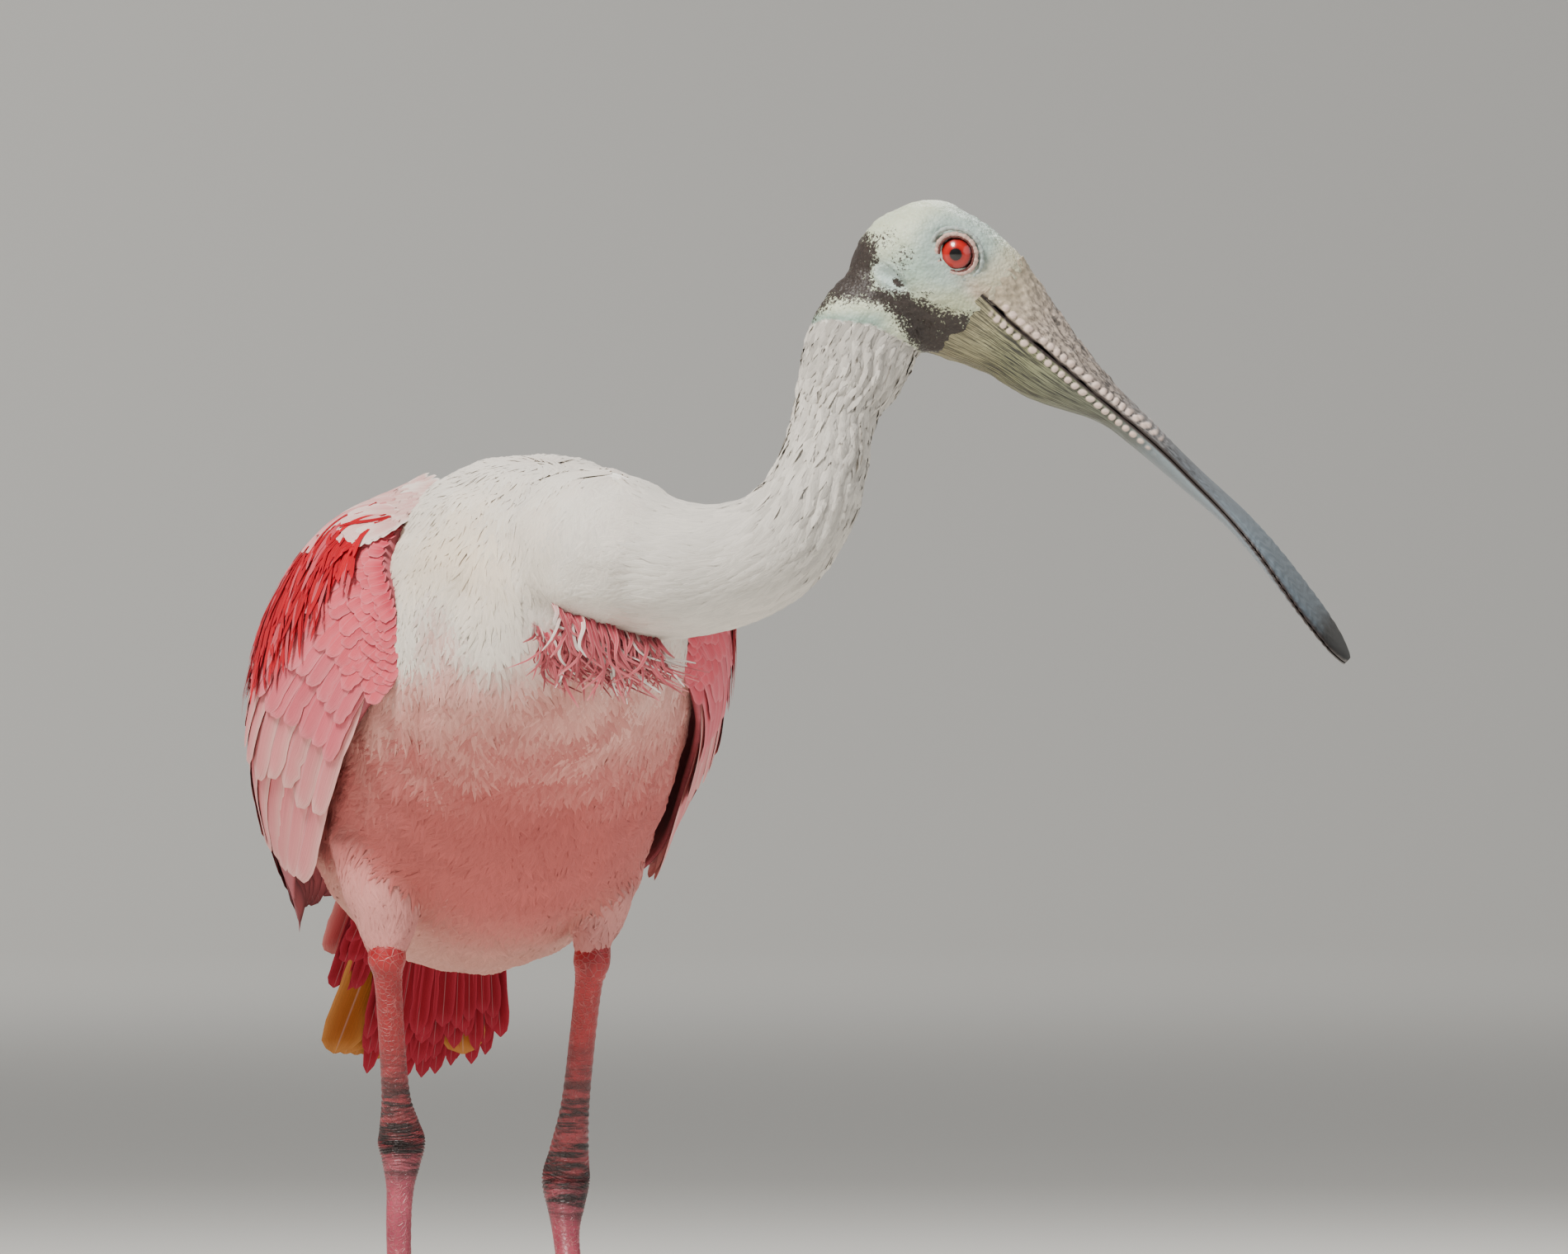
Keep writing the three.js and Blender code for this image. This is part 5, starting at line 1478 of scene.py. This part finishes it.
def billMaterial(name, lower):
    # Bill sheath over bone: knobbly chalky horn at the base, smooth waxy horn on the spoon.
    # IOR 1.52, roughness 0.62 at the base and 0.36 at the tip; scales 1.6 mm, striae 0.4 mm
    material, tree, shader = newMaterial(name, {
        "IOR": 1.52, "Roughness": 0.46, "Subsurface Weight": 0.06, "Subsurface Scale": 0.001,
        "Subsurface Radius": (1.0, 0.7, 0.5), "Coat Weight": 0.08, "Coat Roughness": 0.35,
    })
    where = addNode(tree, "TexCoord", output="Object")
    grain = addNode(tree, "Attribute", output="Vector", attribute_name="grain")
    forward, depth, beaded, inside, knobs = (
        addNode(tree, "Attribute", output="Fac", attribute_name=field)
        for field in ("forward", "depth", "beadShare", "inside", "knobs"))
    # Share of the way to the tip, in mm of 166, made to waver by 10 mm each way
    stray = addNode(tree, "TexNoise", {"Vector": where, "Scale": 60.0, "Detail": 3.0,
                                       "Roughness": 0.6})
    at = addNode(tree, "Math", {0: stray, 1: 20.0, 2: forward}, **timesPlus)
    at = addNode(tree, "Math", {0: at, 1: -10.0}, **plus)
    share = addNode(tree, "Math", {0: at, 1: 166.0}, operation="DIVIDE", use_clamp=True)
    look = billLooks["lower" if lower else "upper"]
    base = addNode(tree, "ValToRGB", {"Fac": share},
                   stops=[(place, linear(code)) for place, code in look["base"]])
    drawn = addNode(tree, "Mapping", {"Vector": grain, "Scale": look["markScale"]})
    marks = addNode(tree, "TexNoise", {"Vector": drawn, "Scale": 1.0, "Detail": look["detail"],
                                       "Roughness": look["rough"]})
    marks = addNode(tree, "ValToRGB", {"Fac": marks}, stops=look["markEdge"])
    reach = addNode(tree, "ValToRGB", {"Fac": share}, stops=look["markReach"])
    marked = addNode(tree, "Math", {0: marks, 1: reach}, **times)
    colour = addNode(tree, "Mix", {0: marked, 6: base, 7: linear(look["mark"])}, 2, **mixing)
    if not lower:
        # Painted shade: the upper bill darkens in the hollows between its knobs
        knobHollowShade = addNode(tree, "ValToRGB", {"Fac": knobs}, stops=[(0.0, 0.62), (0.25, 1.0)])
        shadedInHollows = addNode(tree, "Mix", {0: 1.0, 6: colour, 7: knobHollowShade}, 2, **tinting)
        colour = addNode(tree, "Mix", {0: 0.5, 6: colour, 7: shadedInHollows}, 2, **mixing)
    # Painted shade: each half's edge along the mouth and its inner face are painted near black, for
    # the shade in the slit between the halves
    edge = addNode(tree, "Math", {0: depth, 1: 4.0}, operation="DIVIDE")
    line = addNode(tree, "ValToRGB", {"Fac": edge}, stops=[(0.14, 1.0), (0.3, 0.0)])
    bead = addNode(tree, "ValToRGB", {"Fac": beaded}, stops=[(0.2, 0.0), (0.5, 1.0)])
    for part, code in ((line, "#2C1F1B"), (bead, "#DCC4B6"), (inside, "#241A18")):
        colour = addNode(tree, "Mix", {0: part, 6: colour, 7: linear(code)}, 2, **mixing)
    waxy = addNode(tree, "ValToRGB", {"Fac": share}, stops=[(0.0, 0.62), (0.5, 0.5), (0.8, 0.36)])
    scales = addNode(tree, "TexVoronoi", {"Vector": where, "Scale": 620.0})
    scaly = addNode(tree, "ValToRGB", {"Fac": share}, stops=[(0.0, 1.0), (0.3, 0.7), (0.6, 0.0)])
    scaly = addNode(tree, "Math", {0: scales, 1: scaly}, **times)
    drawn = addNode(tree, "Mapping", {"Vector": grain, "Scale": (40.0, 260.0, 60.0)})
    fine = addNode(tree, "TexNoise", {"Vector": drawn, "Scale": 1.0, "Detail": 4.0,
                                      "Roughness": 0.6})
    height = addNode(tree, "Math", {0: fine, 1: 0.5, 2: scaly}, **timesPlus)
    relief = addNode(tree, "Bump", {"Height": height, "Distance": 0.0005, "Strength": 0.6})
    for made, socket in ((colour, "Base Color"), (waxy, "Roughness"), (relief, "Normal")):
        tree.links.new(made, shader.inputs[socket])
    return material


billTop = billHalf(True, "upper_bill", billMaterial("upper bill sheath", False))
billLow = billHalf(False, "lower_bill", billMaterial("lower bill sheath and gular skin", True))
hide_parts("bill_upper")
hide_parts("bill_lower")
for piece in (billTop, billLow):
    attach(piece, "root")
print("bill done")


# Eyes and their bare rims

eyeSizes = {
    "centre": (-20.0, 5.6, 11.7),   # forward of the gape, up and out, mm
    "radius": 6.95,
    "iris": 5.2,
    "rim": 5.75,
    "middleRim": 6.5,
    "outerRim": 8.2,
    "irisTones": [(0.0, "#050404"), (0.37, "#080404"), (0.39, "#6A0E06"), (0.45, "#A20A03"),
                  (0.64, "#BE1404"), (0.84, "#A00A03"), (0.93, "#4E0A08"), (1.0, "#140A08")],
    "round": 96,                    # points round the eyeball
}


def eyeMaterial():
    # Wet eyeball: a clear cornea, as a smooth coat of IOR 1.42 and roughness 0.02, over a
    # scarlet iris with fine spokes
    material, tree, shader = newMaterial("wet eye, scarlet iris", {
        "Roughness": 0.25, "IOR": 1.38, "Coat Weight": 1.0, "Coat Roughness": 0.02,
        "Coat IOR": 1.42,
    })
    ring = addNode(tree, "Attribute", output="Fac", attribute_name="ring")
    spoke = addNode(tree, "Attribute", output="Vector", attribute_name="spoke")
    drawn = addNode(tree, "Mapping", {"Vector": spoke, "Scale": (1.0, 1.0, 0.5)})
    spokes = addNode(tree, "TexNoise", {"Vector": drawn, "Scale": 5.0, "Detail": 4.0,
                                        "Roughness": 0.7})
    at = addNode(tree, "Math", {0: spokes, 1: 0.14, 2: ring}, **timesPlus)
    at = addNode(tree, "Math", {0: at, 1: -0.07}, **plus)
    iris = addNode(tree, "ValToRGB", {"Fac": at}, stops=[
        (place, linear(code)) for place, code in eyeSizes["irisTones"]])
    tree.links.new(iris, shader.inputs["Base Color"])
    return material


def makeEyes():
    material = eyeMaterial()
    forward, up, out = eyeSizes["centre"]
    radius, count = eyeSizes["radius"], eyeSizes["round"]
    angle = np.linspace(0, math.pi, 65)[1:-1]
    turn = np.linspace(0, 2 * math.pi, count, endpoint=False)
    cornea = 0.35 * np.exp(-(angle / 0.5) ** 2)
    outward = (np.cos(angle) * (radius + cornea))[:, None] * np.ones(count)
    ringRadius = (np.sin(angle) * radius)[:, None]
    share = np.clip(np.repeat(ringRadius.ravel(), count) / eyeSizes["iris"], 0, 1.2)
    for side, word in ((-1, "right"), (1, "left")):
        points, faces = skinOver(headPoints(forward + ringRadius * np.cos(turn),
                                            up + ringRadius * np.sin(turn),
                                            side * (out + outward)))
        eye = meshObject("eyeball_" + word, points, faces, material)
        pointField(eye, "ring", np.where((outward > 0).ravel(), np.clip(share, 0, 1), 1))
        pointField(eye, "spoke", np.column_stack([np.tile(np.cos(turn) * 3, len(angle)),
                                                  np.tile(np.sin(turn) * 3, len(angle)),
                                                  share * 0.6]), "FLOAT_VECTOR")
        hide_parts("eye_" + word)
        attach(eye, "root")


def lidRing(side, radius, thick, lift, seed, stretch):
    # Folded rim of the eye as a loop of small rings, a little longer fore and aft
    draw = np.random.default_rng(seed)
    turn = np.linspace(0, 2 * math.pi, 140, endpoint=False)
    wave = 0.10 * np.sin(turn * 31 + draw.uniform(0, 6)) + 0.14 * np.sin(turn * 13 + 2)
    rings = []
    forward, up, _ = eyeSizes["centre"]
    middle = headPoints(forward, up, side * lift)
    for angle, stray in zip(turn, wave):
        reach = radius * (1 + stretch * math.cos(angle) ** 4)
        a = forward + reach * math.cos(angle)
        b = up + reach * math.sin(angle) * 0.97
        spot = headPoints(a, b, side * (lift - 0.055 * reach * math.cos(angle)
                                        - 0.02 * reach * abs(math.sin(angle))))
        out = unit(spot - middle)
        size = thick * (1 + stray)
        rings.append(ringOf(spot, out, leftWay * side, size, size * 1.15, 12))
    points = np.array(rings).reshape(-1, 3)
    faces = []
    total = len(rings)
    for r in range(total):
        for i in range(12):
            j, q = (i + 1) % 12, (r + 1) % total
            faces.append((r * 12 + i, r * 12 + j, q * 12 + j, q * 12 + i))
    return points, faces


def lidMaterial(name, code, roughness):
    # Bare moist skin of the rims, IOR 1.4; fine wrinkles about 1 mm across
    material, tree, shader = newMaterial(name, {
        "Roughness": roughness, "IOR": 1.4, "Subsurface Weight": 0.12,
        "Subsurface Scale": 0.0012, "Subsurface Radius": (1.0, 0.4, 0.3),
    })
    where = addNode(tree, "TexCoord", output="Object")
    fine = addNode(tree, "TexNoise", {"Vector": where, "Scale": 900.0, "Detail": 4.0,
                                      "Roughness": 0.65})
    shaded = tuple(0.62 * value for value in linear(code))
    tint = addNode(tree, "ValToRGB", {"Fac": fine}, stops=[(0.3, shaded), (0.6, linear(code))])
    relief = addNode(tree, "Bump", {"Height": fine, "Distance": 0.0004, "Strength": 0.7})
    tree.links.new(tint, shader.inputs["Base Color"])
    tree.links.new(relief, shader.inputs["Normal"])
    return material


makeEyes()
rimSkin = lidMaterial("inner eye rim", "#6E3F3A", 0.35)
foldSkin = lidMaterial("eyelid edge", "#D2AFA2", 0.5)
outerSkin = lidMaterial("outer eyelid fold", "#A9B4AE", 0.5)
for side, word in ((-1, "right"), (1, "left")):
    for label, radius, thick, lift, skinOf, stretch in (
            ("inner", eyeSizes["rim"], 0.45, 16.5, rimSkin, 0.05),
            ("middle", eyeSizes["middleRim"], 0.75, 16.3, foldSkin, 0.07),
            ("outer", eyeSizes["outerRim"], 0.75, 15.6, outerSkin, 0.12)):
        points, faces = lidRing(side, radius, thick, lift, 5, stretch)
        rim = meshObject("eyelid_" + label + "_" + word, points, faces, skinOf)
        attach(rim, "root")
print("eyes done")


# Legs and feet

legSizes = {
    "top": 3.2,           # place on the leg where the bare skin starts
    "end": 15.98,         # and where it meets the toes
    "steps": 420,
    "round": 40,
    "topRadii": (4.9, 4.9, 4.9, 5.2),
    "jointSpace": 18,     # mm between the joints of a toe
    "plate": 1.5,         # length of one plate, mm
    "webSteps": 14,
    "webRows": 6,
    "toePad": 0.12,
    "clawLength": 9.5,
    "soleFlat": 0.7,
    "toes": ((0, 64, 4.2), (-27, 50, 3.9), (29, 56, 4.0), (176, 25, 3.4)),
}


def legMaterial():
    # Scaly leg skin, keratin plates over soft skin: satin plates with paler, sunken seams.
    # IOR 1.5, roughness 0.44; plates 2 to 4 mm across, creases of the heel 2 mm apart
    material, tree, shader = newMaterial("scaled leg skin", {
        "Roughness": 0.44, "IOR": 1.5, "Subsurface Weight": 0.05, "Subsurface Scale": 0.001,
        "Subsurface Radius": (1.0, 0.4, 0.3), "Coat Weight": 0.1, "Coat Roughness": 0.35,
    })
    where = addNode(tree, "TexCoord", output="Object")
    plates = addNode(tree, "Attribute", output="Vector", attribute_name="plates")
    low = addNode(tree, "Attribute", output="Fac", attribute_name="low")
    wrinkle = addNode(tree, "Attribute", output="Fac", attribute_name="wrinkle")
    cells = addNode(tree, "TexVoronoi", {"Vector": plates, "Scale": 1.0},
                    feature="DISTANCE_TO_EDGE")
    seams = addNode(tree, "ValToRGB", {"Fac": cells}, stops=[(0.0, 0.0), (0.10, 1.0)])
    blots = addNode(tree, "TexNoise", {"Vector": where, "Scale": 120.0, "Detail": 4.0,
                                       "Roughness": 0.65})
    blots = addNode(tree, "ValToRGB", {"Fac": blots}, stops=[(0.35, 0.0), (0.65, 1.0)])
    upper, lower = (
        addNode(tree, "Mix", {0: blots, 6: linear(first), 7: linear(second)}, 2, **mixing)
        for first, second in (("#8C0E16", "#A8181F"), ("#8E3446", "#AE4A5A")))
    colour = addNode(tree, "Mix", {0: low, 6: upper, 7: lower}, 2, **mixing)
    pale = addNode(tree, "Mix", {0: 0.28, 6: colour, 7: linear("#DE9A94")}, 2, **mixing)
    colour = addNode(tree, "Mix", {0: seams, 6: pale, 7: colour}, 2, **mixing)
    drawn = addNode(tree, "Mapping", {"Vector": where, "Scale": (60.0, 60.0, 520.0)})
    creases = addNode(tree, "TexNoise", {"Vector": drawn, "Scale": 1.0, "Detail": 5.0,
                                         "Roughness": 0.7})
    creases = addNode(tree, "ValToRGB", {"Fac": creases}, stops=[(0.42, 0.0), (0.56, 1.0)])
    dark = addNode(tree, "Math", {0: creases, 1: wrinkle}, **timesWithin)
    dull = addNode(tree, "Math", {0: wrinkle, 1: 0.55}, **timesWithin)
    # Painted shade: the creases of the heel and of the toes' joints are painted near black, for the
    # shade in the folds
    for part, code in ((dull, "#7C4248"), (dark, "#2A1C1B")):
        colour = addNode(tree, "Mix", {0: part, 6: colour, 7: linear(code)}, 2, **mixing)
    grains = addNode(tree, "TexNoise", {"Vector": where, "Scale": 700.0, "Detail": 3.0,
                                        "Roughness": 0.6})
    height = addNode(tree, "Math", {0: dark, 1: -0.9, 2: seams}, **timesPlus)
    height = addNode(tree, "Math", {0: grains, 1: 0.3, 2: height}, **timesPlus)
    relief = addNode(tree, "Bump", {"Height": height, "Distance": 0.0005, "Strength": 0.6})
    tree.links.new(colour, shader.inputs["Base Color"])
    tree.links.new(relief, shader.inputs["Normal"])
    return material


def clawMaterial():
    # Dark horn of the claws, polished by wear: IOR 1.55, roughness 0.36, lengthwise grain
    material, tree, shader = newMaterial("claw horn", {"Roughness": 0.36, "IOR": 1.55})
    where = addNode(tree, "TexCoord", output="Object")
    drawn = addNode(tree, "Mapping", {"Vector": where, "Scale": (300.0, 900.0, 900.0)})
    grain = addNode(tree, "TexNoise", {"Vector": drawn, "Scale": 1.0, "Detail": 3.0,
                                       "Roughness": 0.6})
    tint = addNode(tree, "ValToRGB", {"Fac": grain},
                   stops=[(0.3, linear("#1E1816")), (0.7, linear("#4B3A34"))])
    relief = addNode(tree, "Bump", {"Height": grain, "Distance": 0.0002, "Strength": 0.4})
    tree.links.new(tint, shader.inputs["Base Color"])
    tree.links.new(relief, shader.inputs["Normal"])
    return material


legSkin, clawHorn = legMaterial(), clawMaterial()


def plateField(rings):
    # Unwrap of a tube in units of one plate: round it, and along it
    rings = np.asarray(rings)
    centre = rings.mean(axis=1)
    length = np.concatenate([[0], np.cumsum(np.linalg.norm(np.diff(centre, axis=0), axis=1))])
    turn = np.linspace(0, 2 * math.pi, rings.shape[1], endpoint=False)
    x = np.cos(turn)[None, :] * np.ones((len(rings), 1)) * 2.8
    y = np.sin(turn)[None, :] * np.ones((len(rings), 1)) * 2.8
    z = (length / legSizes["plate"])[:, None] * np.ones(rings.shape[1])
    return np.stack([x, y, z], axis=2).reshape(-1, 3)


def legTube(rows, places):
    def scales(place, angles):
        front = np.exp(-((np.abs(((angles + math.pi) % (2 * math.pi)) - math.pi)) / 1.1) ** 2)
        heel = ease(5.8, 7.4, place) * ease(11.2, 9.8, place)
        bands = np.sin(place * 34) * 0.012 * (1 - heel) * ease(4.2, 5.5, place)
        folds = heel * 0.028 * np.sin(place * 44 + 2 * np.sin(angles * 2 + place * 3))
        return 1 + bands * (0.4 + front) + folds

    return tubeRings(rows, places, legSizes["round"], (0, 1, 0), scales)


def toeRings(base, turn, length, radius, outward):
    angle = rad(-90 + turn * outward)
    way = np.array([math.cos(angle), math.sin(angle), 0])
    joints = max(2, round(length / legSizes["jointSpace"]))
    rings = []
    steps = int(length * 1.6)
    side = np.array([-way[1], way[0], 0])
    for i in range(steps + 1):
        k = i / steps
        swollen = 1 + legSizes["toePad"] * math.cos(k * joints * 2 * math.pi)
        size = radius * mix(1, 0.62, k) * swollen * (1 - 0.35 * ease(0.95, 1.0, k))
        scute = 0.12 * math.sin(k * length * 2.6)
        spot = base + way * k * length + skyWay * (size - legSizes["soleFlat"])
        ring = ringOf(spot, side, skyWay, size + scute * 0.4, size + scute, 28)
        ring[:, 2] = np.maximum(ring[:, 2], 0.02)
        rings.append(ring)
    return np.array(rings), way, size


def clawRings(base, way, length, size):
    side = np.array([-way[1], way[0], 0])
    spine = np.array([[-3, 0.3, 1.9], [0.5, 0.8, 1.75], [4, 0.7, 1.25], [7, 0, 0.75],
                      [legSizes["clawLength"] - 0.4, -0.6, 0.28]])
    rings = []
    for place in np.linspace(0, 4, 22):
        k, up, radius = through(spine, place)
        spot = base + way * (length + k) + skyWay * (size - legSizes["soleFlat"] + up)
        ring = ringOf(spot, side, skyWay, radius * 0.85, radius, 16)
        ring[:, 2] = np.maximum(ring[:, 2], 0.02)
        rings.append(ring)
    return np.array(rings)


def webPart(base, first, second, reach, outward):
    # Thin skin between the bases of the front toes, curved along its free edge
    one, two = (np.array([math.cos(angle), math.sin(angle), 0])
                for angle in (rad(-90 + turn * outward) for turn in (first, second)))
    steps, rows = legSizes["webSteps"], legSizes["webRows"]
    rims = np.array([base + unit(mix(one, two, share)) * reach
                     * (1 - 0.5 * math.sin(math.pi * share)) for share in np.linspace(0, 1, steps)])
    points, faces = [], []
    for level, slope in ((1.2, 0.25), (2.6, -0.25)):
        for rim in rims:
            near = base + (rim - base) * 0.05
            for k in np.linspace(0, 1, rows):
                spot = mix(near, rim, k)
                points.append([spot[0], spot[1], level + slope * k])
    half = steps * rows
    for i in range(steps - 1):
        for j in range(rows - 1):
            a = i * rows + j
            faces.append((a, a + rows, a + rows + 1, a + 1))
            faces.append((half + a, half + a + 1, half + a + rows + 1, half + a + rows))
    border = [i * rows + rows - 1 for i in range(steps)]
    faces.extend((a, b, half + b, half + a) for a, b in zip(border, border[1:]))
    return np.array(points), faces


def makeLeg(word, outward):
    rows = np.array(legRows[word], float)
    rows[:4, 3] = legSizes["topRadii"]
    places = np.linspace(legSizes["top"], legSizes["end"], legSizes["steps"])
    rings = legTube(rows, places)
    base = np.array([rows[-1][0], rows[-1][1], 0])
    place = np.repeat(places, legSizes["round"])
    parts, plates, claws = [skinOver(rings)], [plateField(rings)], []
    lows = [ease(8.6, 10.4, place)]
    # wrinkle marks the heel's folds and the toes' joints, which the leg material paints dark as
    # shade in the creases
    wrinkles = [ease(5.6, 7.2, place) * ease(11.4, 10.0, place)
                + 0.5 * np.exp(-((place - 15.4) / 0.5) ** 2)]
    for turn, length, radius in legSizes["toes"]:
        toe, way, size = toeRings(base, turn, length, radius, outward)
        parts.append(skinOver(toe))
        plates.append(plateField(toe))
        lows.append(np.ones(toe.shape[0] * toe.shape[1]))
        k = np.repeat(np.linspace(0, 1, len(toe)), toe.shape[1])
        joints = max(2, round(length / legSizes["jointSpace"]))
        wrinkles.append(0.5 * np.clip(-np.cos(k * joints * 2 * math.pi), 0, 1) ** 3)
        claws.append(skinOver(clawRings(base, way, length, size)))
    for first, second, reach in ((0, -27, 19), (0, 29, 24)):
        points, faces = webPart(base, first, second, reach, outward)
        parts.append((points, faces))
        plates.append(points / 2.2)
        lows.append(np.ones(len(points)))
        wrinkles.append(np.full(len(points), 0.35))
    points, faces = joinParts(parts)
    leg = meshObject("leg_" + word, points, faces, legSkin)
    pointField(leg, "plates", np.vstack(plates), "FLOAT_VECTOR")
    pointField(leg, "low", np.concatenate(lows))
    pointField(leg, "wrinkle", np.concatenate(wrinkles))
    points, faces = joinParts(claws)
    nails = meshObject("claws_" + word, points, faces, clawHorn)
    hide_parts("tibia_" + word, "tarsus_" + word, "foot_" + word)
    for piece in (leg, nails):
        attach(piece, "root")


makeLeg("right", -1)
makeLeg("left", 1)
print("legs done")


# Lights, floor and camera

sceneSizes = {
    "floorReach": 60000,   # mm each way; the floor curves up into a far backdrop
    "sweepStart": 9500,
    "sweepRadius": 2000,
    "sweepHeight": 14000,
    "cameraAcross": 93.15,   # mm from the body's middle, square to the view
    "cameraHeight": 283.0,
    "cameraAway": -6050.0,
    "lens": 414.9,
    "sensor": 36,
    "skyTint": (0.86, 0.88, 0.92, 1),
    "skyStrength": 0.36,
}


def makeStage():
    # Matt uncoated paper: even and pale, with hardly any gloss
    material = newMaterial("studio paper", {
        "Roughness": 0.9, "IOR": 1.4, "Base Color": linear("#E2DFD8")})[0]
    turns = np.linspace(0, math.pi / 2, 13)
    bend = sceneSizes["sweepRadius"]
    profile = [(-sceneSizes["floorReach"], 0)]
    profile += [(sceneSizes["sweepStart"] + bend * math.sin(turn), bend * (1 - math.cos(turn)))
                for turn in turns]
    profile.append((sceneSizes["sweepStart"] + bend, sceneSizes["sweepHeight"]))
    points = np.array([(x, y, z) for y, z in profile
                       for x in (-sceneSizes["floorReach"], sceneSizes["floorReach"])])
    faces = [(2 * i, 2 * i + 1, 2 * i + 3, 2 * i + 2) for i in range(len(profile) - 1)]
    floor = meshObject("studio_floor", points - rowShift, faces, material)


def addLight(name, size, power, at, target, colour=(1, 1, 1)):
    light = bpy.data.lights.new(name, "AREA")
    light.shape = "DISK"
    light.size = size
    light.energy = power
    light.color = colour
    lamp = bpy.data.objects.new(name, light)
    bpy.context.scene.collection.objects.link(lamp)
    lamp.location = at
    lamp.rotation_euler = (Vector(target) - Vector(at)).to_track_quat("-Z", "Y").to_euler()


makeStage()
addLight("key", 0.8, 112.0, (-1.25, -1.15, 2.3), (0, 0, 0.28), (1.0, 0.97, 0.92))
addLight("fill", 1.8, 12.0, (1.7, -1.7, 0.9), (0, 0, 0.25), (0.92, 0.96, 1.0))
addLight("backdrop", 4.0, 95.0, (0, 8.0, 4.2), (0, 11.5, 0.6))
addLight("rim", 0.9, 26.0, (0.7, 1.6, 1.7), (0, 0, 0.3))
world = bpy.data.worlds.new("studio")
bpy.context.scene.world = world
world.use_nodes = True
world.node_tree.nodes["Background"].inputs[0].default_value = sceneSizes["skyTint"]
world.node_tree.nodes["Background"].inputs[1].default_value = sceneSizes["skyStrength"]

camera = bpy.data.objects.new("camera", bpy.data.cameras.new("camera"))
bpy.context.scene.collection.objects.link(camera)
camera.data.lens = sceneSizes["lens"]
camera.data.sensor_width = sceneSizes["sensor"]
camera.data.clip_end = 200
spotOf = acrossWay * sceneSizes["cameraAcross"] + awayWay * sceneSizes["cameraAway"]
camera.location = (spotOf + skyWay * sceneSizes["cameraHeight"] + rowShift) / 1000
camera.rotation_euler = Vector(awayWay).to_track_quat("-Z", "Y").to_euler()
bpy.context.scene.camera = camera
